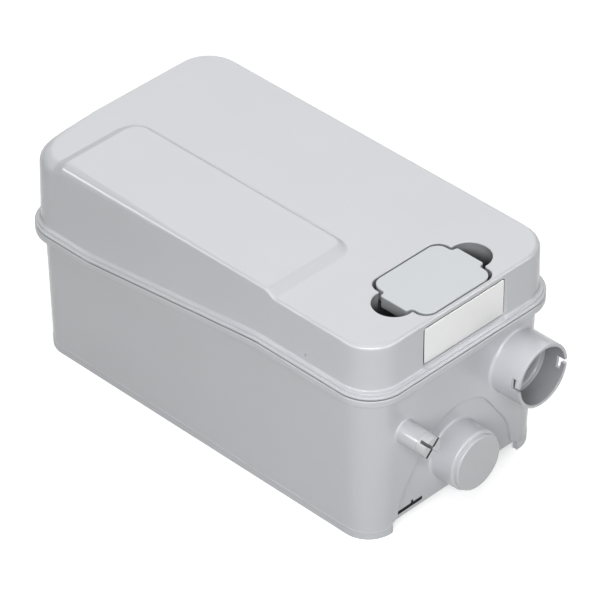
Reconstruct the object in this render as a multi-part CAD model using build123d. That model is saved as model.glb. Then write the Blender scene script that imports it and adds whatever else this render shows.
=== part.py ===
from build123d import *
import math
import os

# Compact grey-water lifting station: a moulded tank with a screwed cover, a motor pump in
# a dry rear chamber, and a wet front chamber that takes the inlet, drain and discharge.
# Millimetres. +X is the port end, +Z is up, and the origin is under the middle of the tank
# on the surface that it stands on.

# Overall casing
RIM_LENGTH = 300.0
RIM_WIDTH = 164.5
RIM_CORNER = 25.0
END_X = RIM_LENGTH / 2
SIDE_Y = RIM_WIDTH / 2
WALL = 2.6
DRAFT = 1.5

# Parting line between tank and cover, as heights at the back and at the port end
SEAM_BACK = 92.8
SEAM_FRONT = 110.4
SEAM_KNEE_BACK = -89.5
SEAM_KNEE_FRONT = 54.3
SEAM_BEND = 40.0
SEAM_GAP = 0.35

# Tank
TANK_INSET = 5.0
TANK_RIM_HEIGHT = 5.2
RIM_ROUND = 1.1
RIM_COVE = 1.5
TANK_CORNER = 21.5
BASE_RAISE = 5.0
TANK_FLOOR = 3.0
SKIRT_WALL = 3.0
FOOT_BAND_HEIGHT = 5.6
FOOT_BAND_PROUD = 0.35
PARTITION_X = -21.0
PARTITION_WALL = 3.0
RIB_WALL = 2.4

# Cover
COVER_INSET = 3.2
COVER_TOP = 146.5
COVER_DRAFT = 1.0
COVER_CORNER = 23.0
COVER_EDGE_FILLET = 2.0
LIP_HEIGHT = 2.5
LIP_ROUND = 0.8
LEDGE_HEIGHT = 4.3
LEDGE_INSET = 1.5
LEDGE_ROUND = 0.6
LEDGE_COVE = 1.1
PAD_RISE = 3.5
PAD_RUN = 8.8
PAD_BACK = -121.5
PAD_FRONT = 68.5
PAD_SIDE = -7.0
PAD_CORNER_BACK = 44.0
PAD_CORNER_FRONT = 22.0
PAD_ROUND = 4.0
WEEP_RADIUS = 0.8
WEEP_X = END_X - 56.5
WEEP_Z = 119.6

# Service hatch in the cover
HATCH_X = END_X - 30.5
HATCH_LENGTH_Y = 61.0
HATCH_WIDTH_X = 47.8
HATCH_CORNER = 8.5
HATCH_EDGE = 0.5
CUSP_ROUND = 1.0
WELL_RADIUS = 13.3
WELL_OFFSET = 32.3
HATCH_DEPTH = 20.0
HATCH_WALL = 2.2
CAP_GAP = 1.2
CAP_END_GAP = 2.2
CAP_CORNER = 8.0
CAP_EDGE = 0.5
CAP_HEIGHT = 8.0
CAP_SHELL = 2.2
CAP_TAB_WIDTH = 21.4
CAP_TAB_REACH = 65.2
CAP_TAB_CORNER = 1.5
CAP_TAB_COVE = 2.6
CAP_NECK_RADIUS = 16.0
CAP_NECK_GAP = 0.4
CAP_NECK_DROP = 6.0

# Blank plate on the cover's port end
PLATE_WIDTH = 67.6
PLATE_HEIGHT = 25.6
PLATE_Z = 129.2
PLATE_CORNER = 1.4
PLATE_THICK = 1.1
PLATE_EDGE = 0.4
PLATE_GAP = 0.8
PLATE_RECESS = 1.7
FRAME_MARGIN = 2.4
FRAME_DEPTH = 0.3

# Arched pocket in the tank's port end
POCKET_X = END_X - 10.5
POCKET_FOOT = 55.0
POCKET_KNEE_Y = 47.0
POCKET_KNEE_Z = 25.0
POCKET_PEAK = 90.8
POCKET_ROUND = 34.0
POCKET_KNEE_ROUND = 40.0
POCKET_EDGE = 1.6
SHOULDER_FOOT = 54.4
SHOULDER_TOP = 51.0
SHOULDER_Z0 = 7.0
SHOULDER_Z1 = 9.0
SLOT_Y0 = -47.0
SLOT_Y1 = -26.3
SLOT_Z0 = 7.5
SLOT_Z1 = 10.2
SLOT_DEPTH = 12.0
SLOT_NOTCH_Y = -35.0
SLOT_NOTCH_WIDTH = 2.0
SLOT_NOTCH_RISE = 1.8

# Discharge socket
SOCKET_Y = 47.2
SOCKET_Z = 74.4
SOCKET_RADIUS = 21.5
SOCKET_BORE = 19.1
SOCKET_MOUTH_X = END_X + 17.0
SOCKET_DEPTH = 22.0
SOCKET_FOOT_ROUND = 1.6
MOUTH_ROUND = 0.6
SOCKET_STOP_X = SOCKET_MOUTH_X - SOCKET_DEPTH
SOCKET_INNER_X = SOCKET_STOP_X - 45.0
SEAL_SEAT_RADIUS = 18.4
SEAL_SEAT_DEPTH = 3.5
CHAMBER_RADIUS = 17.0
NOTCH_WIDTH = 3.2
NOTCH_DEPTH = 6.4
NOTCH_LEG = 5.0

# Low inlet stub
STUB_Z = 31.6
STUB_RADIUS = 20.0
STUB_BORE = 17.4
STUB_FOOT_ROUND = 1.6
STUB_MOUTH_ROUND = 1.5
STUB_MOUTH_X = END_X + 7.2
PLUG_DISC_RADIUS = 18.5
PLUG_FACE_X = STUB_MOUTH_X + 3.1
PLUG_SHANK = 14.0
PLUG_WALL = 2.2
PLUG_FIT = 0.35
SEAL_CORD = 0.9
CORD_ROOM = 0.03
SEAL_FIT = 0.04

# Drain spigot
DRAIN_Y = -48.0
DRAIN_Z = 74.7
DRAIN_RADIUS = 7.4
DRAIN_HEAD = 7.2
DRAIN_FOOT_ROUND = 1.0
DRAIN_EDGE = 0.5
DRAIN_ROOT_X = END_X - 7.5
DRAIN_BORE = 4.6
DRAIN_MOUTH_X = END_X + 10.0
DRAIN_END_X = END_X + 16.8
DRAIN_STEM = 18.0
DRAIN_FIT = 0.08
CROSS_SLOT = 2.0
CROSS_DEPTH = 4.2

# Pump in the wet chamber, on one axis along X with the motor
PUMP_Y = -10.0
PUMP_Z = 54.0
CASING_RADIUS = 34.0
CASING_WALL = 2.5
CASING_BACK = 6.0
CASING_LENGTH = 32.0
OUTLET_OFFSET = 10.0
FLANGE_REACH = 5.0
FLANGE_THICK = 4.0
FLANGE_SCREWS = 6
BACK_SCREW_CIRCLE = 22.0
IMPELLER_RADIUS = 27.0
IMPELLER_DEPTH = 11.0
IMPELLER_HUB = 8.0
IMPELLER_VANES = 6
VANE_THICK = 1.8
EYE_RADIUS = 12.0
SUCTION_PLATE = 3.0
STRAINER_RADIUS = 20.0
STRAINER_LENGTH = 16.0
STRAINER_SLOTS = 12
STRAINER_SLOT = 3.0

# Motor in the dry chamber
MOTOR_RADIUS = 38.0
MOTOR_WALL = 2.0
MOTOR_LENGTH = 85.0
MOTOR_FRONT_X = PARTITION_X - PARTITION_WALL - 9.0
MOTOR_BACK_X = MOTOR_FRONT_X - MOTOR_LENGTH
MOTOR_FACE = 4.0
END_CAP_THICK = 4.0
EAR_RADIUS = 4.5
EAR_LENGTH = 12.0
NOSE_RADIUS = 16.0
SHAFT_RADIUS = 5.0
THREAD_RADIUS = 3.0
SHAFT_FIT = 0.05
PRESS_ROOM = 0.02
BEARING_RADIUS = 13.0
BEARING_WIDTH = 9.0
STATOR_LENGTH = 42.0
STATOR_BORE = 22.5
STATOR_SLOTS = 12
SLOT_WIDTH = 4.0
AIR_GAP = 0.5
WINDING_OVERHANG = 9.5
SADDLE_LENGTH = 12.0
SADDLE_HALF = 30.0
SADDLE_TOP = 28.0

# Rising hose from the pump to the non-return valve
HOSE_RADIUS = 12.0
HOSE_BORE = 9.6
HOSE_BEND = 16.0
HOSE_GRIP = 12.0
SPIGOT_GRIP = 6.0
SPIGOT_WALL = 2.2
CLAMP_THICK = 0.9
FLAP_RADIUS = 13.6
FLAP_THICK = 2.0
SEAT_BORE = 11.0
PIN_RADIUS = 1.5

# Level switch with its air bell and tube
SWITCH_X = -60.0
SWITCH_Y = -45.0
SWITCH_Z = 104.0
SWITCH_RADIUS = 19.0
SWITCH_BASE = 6.0
SWITCH_BODY = 17.0
SWITCH_WALL = 2.0
DIAPHRAGM_THICK = 1.0
PLUNGER_RADIUS = 3.0
PLUNGER_FOOT = 9.0
PLUNGER_FIT = 0.05
SPRING_RADIUS = 5.6
SPRING_WIRE = 0.6
SPRING_COILS = 4
BELL_X = 60.0
BELL_Y = -45.0
BELL_RADIUS = 10.0
BELL_WALL = 1.6
BELL_FOOT = 15.0
BELL_TOP = 95.0
TUBE_RADIUS = 3.5
TUBE_BORE = 2.05
TUBE_BEND = 7.0
NIPPLE_RADIUS = 2.0

# Electrical parts, breather and cord inlet
BOX_X = -84.0
BOX_Y = 31.0
BOX_LENGTH = 56.0
BOX_WIDTH = 50.0
BOX_FOOT = 98.0
BOX_HEIGHT = 23.0
BOX_WALL = 2.0
LID_THICK = 3.0
BOARD_THICK = 1.6
CAPACITOR_RADIUS = 15.0
CAPACITOR_LENGTH = 60.0
CAPACITOR_X = -85.0
CAPACITOR_Y = 50.0
CAPACITOR_Z = 26.0
FILTER_X = 40.0
FILTER_Y = 40.0
FILTER_RADIUS = 20.0
FILTER_HEIGHT = 20.0
GLAND_Y = 38.0
GLAND_Z = 72.0
GLAND_RADIUS = 8.0
GLAND_HEAD = 11.0
GLAND_BORE = 4.2
HANGER_RADIUS = 3.0

# Fasteners
BACK_SCREW_X = -END_X + 28.0
BACK_SCREW_Y = SIDE_Y - 23.25
FRONT_SCREW_X = END_X - 66.0
FRONT_SCREW_Y = SIDE_Y - 14.0
COVER_SCREW_RADIUS = 2.0
COVER_SCREW_HEAD = 4.0
COVER_SCREW_LENGTH = 26.0
PILLAR_RADIUS = 6.5
POST_RADIUS = 5.0
PILLAR_DROP = 22.0
SCREW_RADIUS = 1.8
SCREW_ROOM = 0.05
SCREW_HEAD = 3.4
SCREW_HEAD_HEIGHT = 2.6

# Reach of the tools that cut or bound the mouldings, beyond the casing on every side
FAR = 400.0


def block(x0, x1, y0, y1, z0, z1):
    """Box between two opposite corners."""
    centre = Pos((x0 + x1) / 2, (y0 + y1) / 2, (z0 + z1) / 2)
    return centre * Box(x1 - x0, y1 - y0, z1 - z0)


def rod_x(radius, x0, x1, y, z):
    """Round bar along X."""
    return Pos((x0 + x1) / 2, y, z) * Rot(0, 90, 0) * Cylinder(radius, x1 - x0)


def rod_z(radius, x, y, z0, z1):
    """Round bar along Z."""
    return Pos(x, y, (z0 + z1) / 2) * Cylinder(radius, z1 - z0)


def rod_y(radius, x, y0, y1, z):
    """Round bar along Y."""
    return Pos(x, (y0 + y1) / 2, z) * Rot(90, 0, 0) * Cylinder(radius, y1 - y0)


def tube_x(outer, inner, x0, x1, y, z):
    """Round tube along X."""
    return rod_x(outer, x0, x1, y, z) - rod_x(inner, x0 - 1, x1 + 1, y, z)


def seal_ring_x(radius, cord, x, y, z):
    """Round sealing cord bent into a ring about an X axis."""
    return Pos(x, y, z) * Rot(0, 90, 0) * Torus(radius, cord)


def screw_x(x_head, x_tip, y, z):
    """Pan-head screw along X, with its head at x_head pointing away from the tip."""
    outward = -1 if x_head < x_tip else 1
    head_end = x_head + outward * SCREW_HEAD_HEIGHT
    head = rod_x(SCREW_HEAD, min(x_head, head_end), max(x_head, head_end), y, z)
    return head + rod_x(SCREW_RADIUS, min(x_head, x_tip), max(x_head, x_tip), y, z)


def rounded_prism(length, width, corner, z0, z1, taper=0.0):
    """Upright prism on a rounded rectangle; a negative taper widens it upwards."""
    plan = Pos(0, 0, z0) * RectangleRounded(length, width, corner)
    return extrude(plan, amount=z1 - z0, taper=taper)


def seam_side(shift, above):
    """Everything above or below the parting line after it is raised by shift."""
    line = FilletPolyline(
        (-FAR, SEAM_BACK + shift),
        (SEAM_KNEE_BACK, SEAM_BACK + shift),
        (SEAM_KNEE_FRONT, SEAM_FRONT + shift),
        (FAR, SEAM_FRONT + shift),
        radius=SEAM_BEND,
    )
    limit = FAR if above else -FAR
    closing = Polyline(
        (FAR, SEAM_FRONT + shift), (FAR, limit), (-FAR, limit), (-FAR, SEAM_BACK + shift)
    )
    profile = make_face(Plane.XZ * (line + closing))
    return extrude(profile, amount=FAR / 2, both=True)


def seam_band(low, high, inset):
    """Slice of the casing's plan that follows the parting line between two heights."""
    plan = rounded_prism(RIM_LENGTH - 2 * inset, RIM_WIDTH - 2 * inset, RIM_CORNER - inset, 60, 140)
    return plan & seam_side(low, True) & seam_side(high, False)


def side_loops(solid):
    """Edges that run round a seam band, above and below its upright sides."""
    upright = [f for f in solid.faces() if abs(f.normal_at().Z) < 0.2]
    edges = ShapeList()
    for face in upright:
        for edge in face.edges():
            if abs(edge.tangent_at(0.5).Z) < 0.9:
                edges.append(edge)
    return edges


def parts_of(shape):
    """The separate solids of a shape."""
    return list(shape.solids())


def fused(shapes):
    """Union of several shapes."""
    result = shapes[0]
    for shape in shapes[1:]:
        result = result + shape
    return result


def tank_plan(z):
    """Length and width of the tank's outer wall at a height."""
    spread = 2 * (SEAM_FRONT - z) * math.tan(math.radians(DRAFT))
    return RIM_LENGTH - 2 * TANK_INSET - spread, RIM_WIDTH - 2 * TANK_INSET - spread


def tank_prism(z0, z1, inset):
    """Drafted block of the tank's plan, inset from its outer wall."""
    length, width = tank_plan(z0)
    corner = TANK_CORNER - (SEAM_FRONT - z0) * math.tan(math.radians(DRAFT)) - inset
    return rounded_prism(length - 2 * inset, width - 2 * inset, corner, z0, z1, -DRAFT)


def pocket_face(grow):
    """Arched outline of the port-end pocket, in the YZ plane."""
    foot = POCKET_FOOT + grow
    knee = POCKET_KNEE_Y + grow
    arch = FilletPolyline(
        (-foot, -FAR / 20),
        (-knee, POCKET_KNEE_Z),
        (0, POCKET_PEAK + grow),
        (knee, POCKET_KNEE_Z),
        (foot, -FAR / 20),
        radius=[POCKET_KNEE_ROUND, POCKET_ROUND, POCKET_KNEE_ROUND],
    )
    base = Line((foot, -FAR / 20), (-foot, -FAR / 20))
    return make_face(Plane.YZ * (arch + base))


def pocket_block(x0, x1, grow):
    """The pocket's arch as a solid between two planes."""
    return extrude(Pos(x0, 0, 0) * pocket_face(grow), amount=x1 - x0, dir=(1, 0, 0))


def bayonet_notches():
    """Two L-shaped notches in the mouth of the discharge socket, half a turn apart."""
    cutters = []
    for turn in (0, 180):
        way = block(-NOTCH_DEPTH, 1, SOCKET_BORE - 2, SOCKET_RADIUS + 1, -NOTCH_WIDTH / 2, NOTCH_WIDTH / 2)
        leg = block(
            -NOTCH_DEPTH, -NOTCH_DEPTH + NOTCH_WIDTH,
            SOCKET_BORE - 2, SOCKET_RADIUS + 1,
            -NOTCH_LEG - NOTCH_WIDTH / 2, NOTCH_WIDTH / 2,
        )
        cutters.append(Pos(SOCKET_MOUTH_X, SOCKET_Y, SOCKET_Z) * Rot(turn, 0, 0) * (way + leg))
    return fused(cutters)


def screw_sites():
    """Plan positions of the four cover screws."""
    back = [(BACK_SCREW_X, side * BACK_SCREW_Y) for side in (-1, 1)]
    front = [(FRONT_SCREW_X, side * FRONT_SCREW_Y) for side in (-1, 1)]
    return back + front


def around(count, radius, first=0.0):
    """Places of a ring of screws about the pump axis, as Y and Z."""
    places = []
    for i in range(count):
        angle = math.radians(first + 360 * i / count)
        places.append((PUMP_Y + radius * math.cos(angle), PUMP_Z + radius * math.sin(angle)))
    return places


def flange_screws():
    """Places of the screws in the pump casing's flange."""
    return around(FLANGE_SCREWS, CASING_RADIUS + FLANGE_REACH / 2, 30)


def back_screws():
    """Places of the screws that hold the pump casing to the partition."""
    return around(4, BACK_SCREW_CIRCLE, 45)


def ear_places():
    """Places of the screw ears round the back of the motor."""
    return around(4, MOTOR_RADIUS + 2, 45)


def grouped(shapes):
    """Separate solids gathered under one node."""
    return Compound(children=[solid for shape in shapes for solid in parts_of(shape)])


def seam_height(x):
    """Height of the parting line at a place along the casing."""
    if x <= SEAM_KNEE_BACK:
        return SEAM_BACK
    if x >= SEAM_KNEE_FRONT:
        return SEAM_FRONT
    share = (x - SEAM_KNEE_BACK) / (SEAM_KNEE_FRONT - SEAM_KNEE_BACK)
    return SEAM_BACK + share * (SEAM_FRONT - SEAM_BACK)


def gasket_band(slack):
    """Ring that follows the parting line in the middle of the tank's rim."""
    outer = seam_band(-1.9 - slack, SEAM_GAP - 0.02, 2.3 - slack)
    inner = seam_band(-3.0, 3.0, 4.7 + slack)
    return outer - inner


def rim_corner(body):
    """Edges where the tank's wall meets the underside of its rim."""
    edges = ShapeList()
    for edge in body.edges():
        at = edge.center()
        half_x, half_y = tank_plan(at.Z)[0] / 2, tank_plan(at.Z)[1] / 2
        level = abs(at.Z - seam_height(at.X) + TANK_RIM_HEIGHT) < 0.6 and abs(edge.tangent_at(0.5).Z) < 0.5
        on_end = abs(abs(at.X) - half_x) < 0.3
        on_side = abs(abs(at.Y) - half_y) < 0.3
        inside = abs(at.X) < half_x and abs(at.Y) < half_y
        if level and (on_end or on_side or inside):
            edges.append(edge)
    return edges


def pocket_edges(body):
    """Edges of the pocket's arch where it breaks out of the port end."""
    edges = ShapeList()
    for edge in body.edges():
        at = edge.center()
        outside = min((edge @ 0).X, (edge @ 1).X, at.X) > POCKET_X + 0.8
        if outside and abs(at.Y) < POCKET_FOOT and 10 < at.Z < POCKET_PEAK - 10 and edge.length > 3:
            edges.append(edge)
    return edges


def foot_ring(body, radius, y, z):
    """Edges where a tube of the port end meets the end wall."""
    edges = ShapeList()
    for edge in body.edges():
        points = [edge @ 0, edge @ 0.5, edge @ 1]
        on_tube = all(abs(math.hypot(p.Y - y, p.Z - z) - radius) < 0.02 for p in points)
        if on_tube and all(POCKET_X - 0.1 < p.X < END_X - 2 for p in points):
            if abs(edge.tangent_at(0.5).X) < 0.9:
                edges.append(edge)
    return edges


def mouth_ring(body, radius, x, y, z):
    """Edges of a tube's open end at one radius."""
    edges = ShapeList()
    for edge in body.edges():
        points = [edge @ 0, edge @ 0.5]
        if all(abs(math.hypot(p.Y - y, p.Z - z) - radius) < 0.02 and abs(p.X - x) < 0.02 for p in points):
            edges.append(edge)
    return edges


def make_tank():
    """Open moulded tank: drafted walls, rim, partition, pillars, sockets and skirted base."""
    shell = tank_prism(0, SEAM_FRONT + 10, 0) & seam_side(0, False)
    rim = seam_band(-TANK_RIM_HEIGHT, 0, 0)
    rim = fillet(side_loops(rim), RIM_ROUND)
    body = shell + rim
    body = fillet(rim_corner(body), RIM_COVE)
    foot_length, foot_width = tank_plan(0)
    foot = rounded_prism(
        foot_length + 2 * FOOT_BAND_PROUD, foot_width + 2 * FOOT_BAND_PROUD,
        TANK_CORNER - 2.5, 0, FOOT_BAND_HEIGHT, -DRAFT,
    )
    body = body + foot

    # The wet and dry chambers, either side of the partition
    floor_top = BASE_RAISE + TANK_FLOOR
    hollow = tank_prism(floor_top, FAR / 2, WALL)
    dry = hollow & block(-FAR, PARTITION_X - PARTITION_WALL, -FAR, FAR, 0, FAR)
    wet = hollow & block(PARTITION_X, FAR, -FAR, FAR, 0, FAR)
    body = body - dry - wet

    # Recessed underside with its grid of ribs
    under = tank_prism(-1, BASE_RAISE, SKIRT_WALL)
    ribs = [block(-FAR, FAR, y - RIB_WALL / 2, y + RIB_WALL / 2, 0, BASE_RAISE) for y in (-36, 0, 36)]
    for x in (-90, -45, 0, 45, 90):
        ribs.append(block(x - RIB_WALL / 2, x + RIB_WALL / 2, -FAR, FAR, 0, BASE_RAISE))
    body = body - (under - fused(ribs))

    # Arched pocket: its wall is carried inwards, then the arch is cut from outside
    backing = pocket_block(POCKET_X - WALL, FAR, WALL) & tank_prism(BASE_RAISE, SEAM_FRONT - 8, 0.5)
    cut = pocket_block(POCKET_X, FAR, 0)
    body = body + backing - cut
    body = fillet(pocket_edges(body), POCKET_EDGE)
    body = body - block(POCKET_X - WALL - 6, FAR, -POCKET_FOOT + 1, POCKET_FOOT - 1, -1, BASE_RAISE)
    for side in (-1, 1):
        outline = Polyline(
            (0, -1), (side * SHOULDER_FOOT, -1), (side * SHOULDER_FOOT, SHOULDER_Z0),
            (side * SHOULDER_TOP, SHOULDER_Z1), (0, SHOULDER_Z1), close=True,
        )
        shoulder = make_face(Plane.YZ * outline)
        body = body - extrude(Pos(POCKET_X, 0, 0) * shoulder, amount=FAR / 8, dir=(1, 0, 0))
    slot_x = POCKET_X - SLOT_DEPTH
    pod_top = SLOT_Z1 + SLOT_NOTCH_RISE + WALL
    pod = block(slot_x - WALL, POCKET_X - 1, SLOT_Y0 - WALL, SLOT_Y1 + WALL, BASE_RAISE, pod_top)
    slot = block(slot_x, POCKET_X + 1, SLOT_Y0, SLOT_Y1, SLOT_Z0, SLOT_Z1)
    y0 = SLOT_NOTCH_Y - SLOT_NOTCH_WIDTH / 2
    y1 = SLOT_NOTCH_Y + SLOT_NOTCH_WIDTH / 2
    notch = block(slot_x, POCKET_X + 1, y0, y1, SLOT_Z0, SLOT_Z1 + SLOT_NOTCH_RISE)
    body = body + pod - slot - notch

    # Tubes that pass through the port end
    body = body + rod_x(STUB_RADIUS, POCKET_X - WALL, STUB_MOUTH_X, 0, STUB_Z)
    body = fillet(foot_ring(body, STUB_RADIUS, 0, STUB_Z), STUB_FOOT_ROUND)
    body = body + rod_x(DRAIN_RADIUS, DRAIN_ROOT_X, DRAIN_MOUTH_X, DRAIN_Y, DRAIN_Z)
    body = fillet(foot_ring(body, DRAIN_RADIUS, DRAIN_Y, DRAIN_Z), DRAIN_FOOT_ROUND)
    body = body + rod_x(SOCKET_RADIUS, SOCKET_INNER_X, SOCKET_MOUTH_X, SOCKET_Y, SOCKET_Z)
    body = fillet(foot_ring(body, SOCKET_RADIUS, SOCKET_Y, SOCKET_Z), SOCKET_FOOT_ROUND)
    body = fillet(mouth_ring(body, STUB_RADIUS, STUB_MOUTH_X, 0, STUB_Z), STUB_MOUTH_ROUND)
    body = body - rod_x(SOCKET_BORE, SOCKET_STOP_X, FAR / 2, SOCKET_Y, SOCKET_Z)
    body = body - rod_x(SEAL_SEAT_RADIUS, SOCKET_STOP_X - SEAL_SEAT_DEPTH, FAR / 2, SOCKET_Y, SOCKET_Z)
    body = body - rod_x(CHAMBER_RADIUS, SOCKET_INNER_X - 1, SOCKET_STOP_X + 1, SOCKET_Y, SOCKET_Z)
    body = body - rod_x(STUB_BORE, POCKET_X - WALL - 1, FAR / 2, 0, STUB_Z)
    body = body - rod_x(DRAIN_BORE, POCKET_X - WALL - 8, FAR / 2, DRAIN_Y, DRAIN_Z)
    body = fillet(mouth_ring(body, SOCKET_RADIUS, SOCKET_MOUTH_X, SOCKET_Y, SOCKET_Z), MOUTH_ROUND)
    body = fillet(mouth_ring(body, SOCKET_BORE, SOCKET_MOUTH_X, SOCKET_Y, SOCKET_Z), MOUTH_ROUND)
    body = body - bayonet_notches()

    # Clips of the air bell and cradles of the capacitor
    inside = tank_prism(floor_top - 1, FAR / 4, 0.5)
    for z in (BELL_FOOT + 25, BELL_TOP - 15):
        clip = block(BELL_X - 4, BELL_X + 4, -FAR, BELL_Y - BELL_RADIUS - 0.05, z, z + 4)
        body = body + (clip & inside)
    for x in (CAPACITOR_X - 20, CAPACITOR_X + 20):
        half = CAPACITOR_RADIUS - 2
        cradle = block(x - 1.5, x + 1.5, CAPACITOR_Y - half, CAPACITOR_Y + half, BASE_RAISE, CAPACITOR_Z - 5)
        room = rod_x(CAPACITOR_RADIUS + 0.3, x - 5, x + 5, CAPACITOR_Y, CAPACITOR_Z)
        body = body + (cradle - room)

    # Pillars, webbed to the walls and bored from beneath for the cover screws
    for x, y in screw_sites():
        top = seam_height(x) - PILLAR_DROP
        wall_y = math.copysign(FAR, y)
        web = block(x - RIB_WALL / 2, x + RIB_WALL / 2, min(y, wall_y), max(y, wall_y), BASE_RAISE, top)
        pillar = rod_z(PILLAR_RADIUS, x, y, BASE_RAISE, top) + web
        body = body + (pillar & inside)
        body = body - rod_z(COVER_SCREW_HEAD + 0.6, x, y, -1, top - 4)
        body = body - rod_z(COVER_SCREW_RADIUS + 0.4, x, y, -1, top + 1)

    # Openings of the partition, the cord inlet, and the gasket groove in the rim
    back = PARTITION_X - PARTITION_WALL - 1
    body = body - rod_x(NOSE_RADIUS + 1, back, PARTITION_X + 1, PUMP_Y, PUMP_Z)
    for y, z in back_screws():
        body = body - rod_x(SCREW_RADIUS + SCREW_ROOM, back, PARTITION_X + 1, y, z)
    body = body - rod_x(GLAND_RADIUS + 0.15, -FAR / 2, -END_X + 20, GLAND_Y, GLAND_Z)
    body = body - gasket_band(0.1)
    return body


def cover_prism(inset, z1):
    """Drafted block of the cover's plan, inset from its outer wall."""
    z0 = SEAM_BACK
    return rounded_prism(
        RIM_LENGTH - 2 * COVER_INSET - 2 * inset,
        RIM_WIDTH - 2 * COVER_INSET - 2 * inset,
        COVER_CORNER - inset, z0, z1, COVER_DRAFT,
    )


def pad_mitres(pad, side):
    """Edges at which two slopes of the pad meet, at its back or its front."""
    edges = ShapeList()
    for edge in pad.edges():
        run = edge.tangent_at(0.5)
        if edge.center().X * side > 0 and min(abs(run.X), abs(run.Y), abs(run.Z)) > 0.1:
            edges.append(edge)
    return edges


def pad_block():
    """Raised pad: its back, front and inner sides slope, and the fourth lies past the cover."""
    below = COVER_TOP - 10
    above = COVER_TOP + PAD_RISE
    fall = PAD_RUN / PAD_RISE * (COVER_TOP - below)
    lengthways = Polyline(
        (PAD_BACK - fall, below), (PAD_BACK + PAD_RUN, above),
        (PAD_FRONT - PAD_RUN, above), (PAD_FRONT + fall, below), close=True,
    )
    across = Polyline(
        (-FAR / 3, below), (-FAR / 3, above), (PAD_SIDE - PAD_RUN, above), (PAD_SIDE + fall, below),
        close=True,
    )
    long_wedge = extrude(make_face(Plane.XZ * lengthways), amount=FAR / 3, both=True)
    cross_wedge = extrude(make_face(Plane.YZ * across), amount=FAR, both=True)
    pad = long_wedge & cross_wedge
    pad = fillet(pad_mitres(pad, -1), PAD_CORNER_BACK)
    return fillet(pad_mitres(pad, 1), PAD_CORNER_FRONT)


def top_block(drop):
    """Everything under the cover's top surface, with its raised pad, lowered by drop."""
    main = block(-FAR, FAR, -FAR / 3, FAR / 3, 0, COVER_TOP)
    body = main + pad_block()
    ridge = [
        e for e in body.edges()
        if abs(e.center().Z - COVER_TOP - PAD_RISE) < 0.01 and e.center().Y > -FAR / 4
    ]
    body = fillet(ridge, PAD_ROUND)
    foot = [
        e for e in body.edges()
        if abs(e.center().Z - COVER_TOP) < 0.01 and e.center().Y < SIDE_Y
        and PAD_BACK - 5 < e.center().X < PAD_FRONT + 5
    ]
    return Pos(0, 0, -drop) * fillet(foot, PAD_ROUND)


def is_cusp(vertex):
    """Whether a corner of the hatch's outline lies where a well meets the middle."""
    return abs(vertex.X) < WELL_RADIUS + HATCH_WALL


def hatch_face(grow):
    """Outline of the service hatch: a rounded rectangle with a finger well at each end."""
    middle = RectangleRounded(HATCH_WIDTH_X + 2 * grow, HATCH_LENGTH_Y + 2 * grow, HATCH_CORNER + grow)
    wells = [Pos(0, side * WELL_OFFSET) * Circle(WELL_RADIUS + grow) for side in (-1, 1)]
    outline = middle + wells[0] + wells[1]
    cusps = [v for v in outline.vertices() if abs(abs(v.Y) - HATCH_LENGTH_Y / 2 - grow) < 0.1 and is_cusp(v)]
    return Pos(HATCH_X, 0, 0) * fillet(cusps, CUSP_ROUND)


def plate_face(grow):
    """Outline of the blank plate, in the YZ plane."""
    return Plane.YZ * RectangleRounded(PLATE_WIDTH + 2 * grow, PLATE_HEIGHT + 2 * grow, PLATE_CORNER + grow)


def ledge_corner(body):
    """Edges where the cover's wall meets the top of its ledge."""
    edges = ShapeList()
    for edge in body.edges():
        at = edge.center()
        level = abs(at.Z - seam_height(at.X) - LEDGE_HEIGHT) < 0.7 and abs(edge.tangent_at(0.5).Z) < 0.5
        inset = COVER_INSET - 0.1
        if level and abs(at.X) < END_X - inset and abs(at.Y) < SIDE_Y - inset:
            edges.append(edge)
    return edges


def hatch_rim(body):
    """Edges of the hatch in the cover's top surface."""
    reach = WELL_OFFSET + WELL_RADIUS + 1
    edges = ShapeList()
    for edge in body.edges():
        at = edge.center()
        within = abs(at.X - HATCH_X) < HATCH_WIDTH_X / 2 + 0.5 and abs(at.Y) < reach
        if within and abs(at.Z - COVER_TOP) < 0.01:
            edges.append(edge)
    return edges


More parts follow.
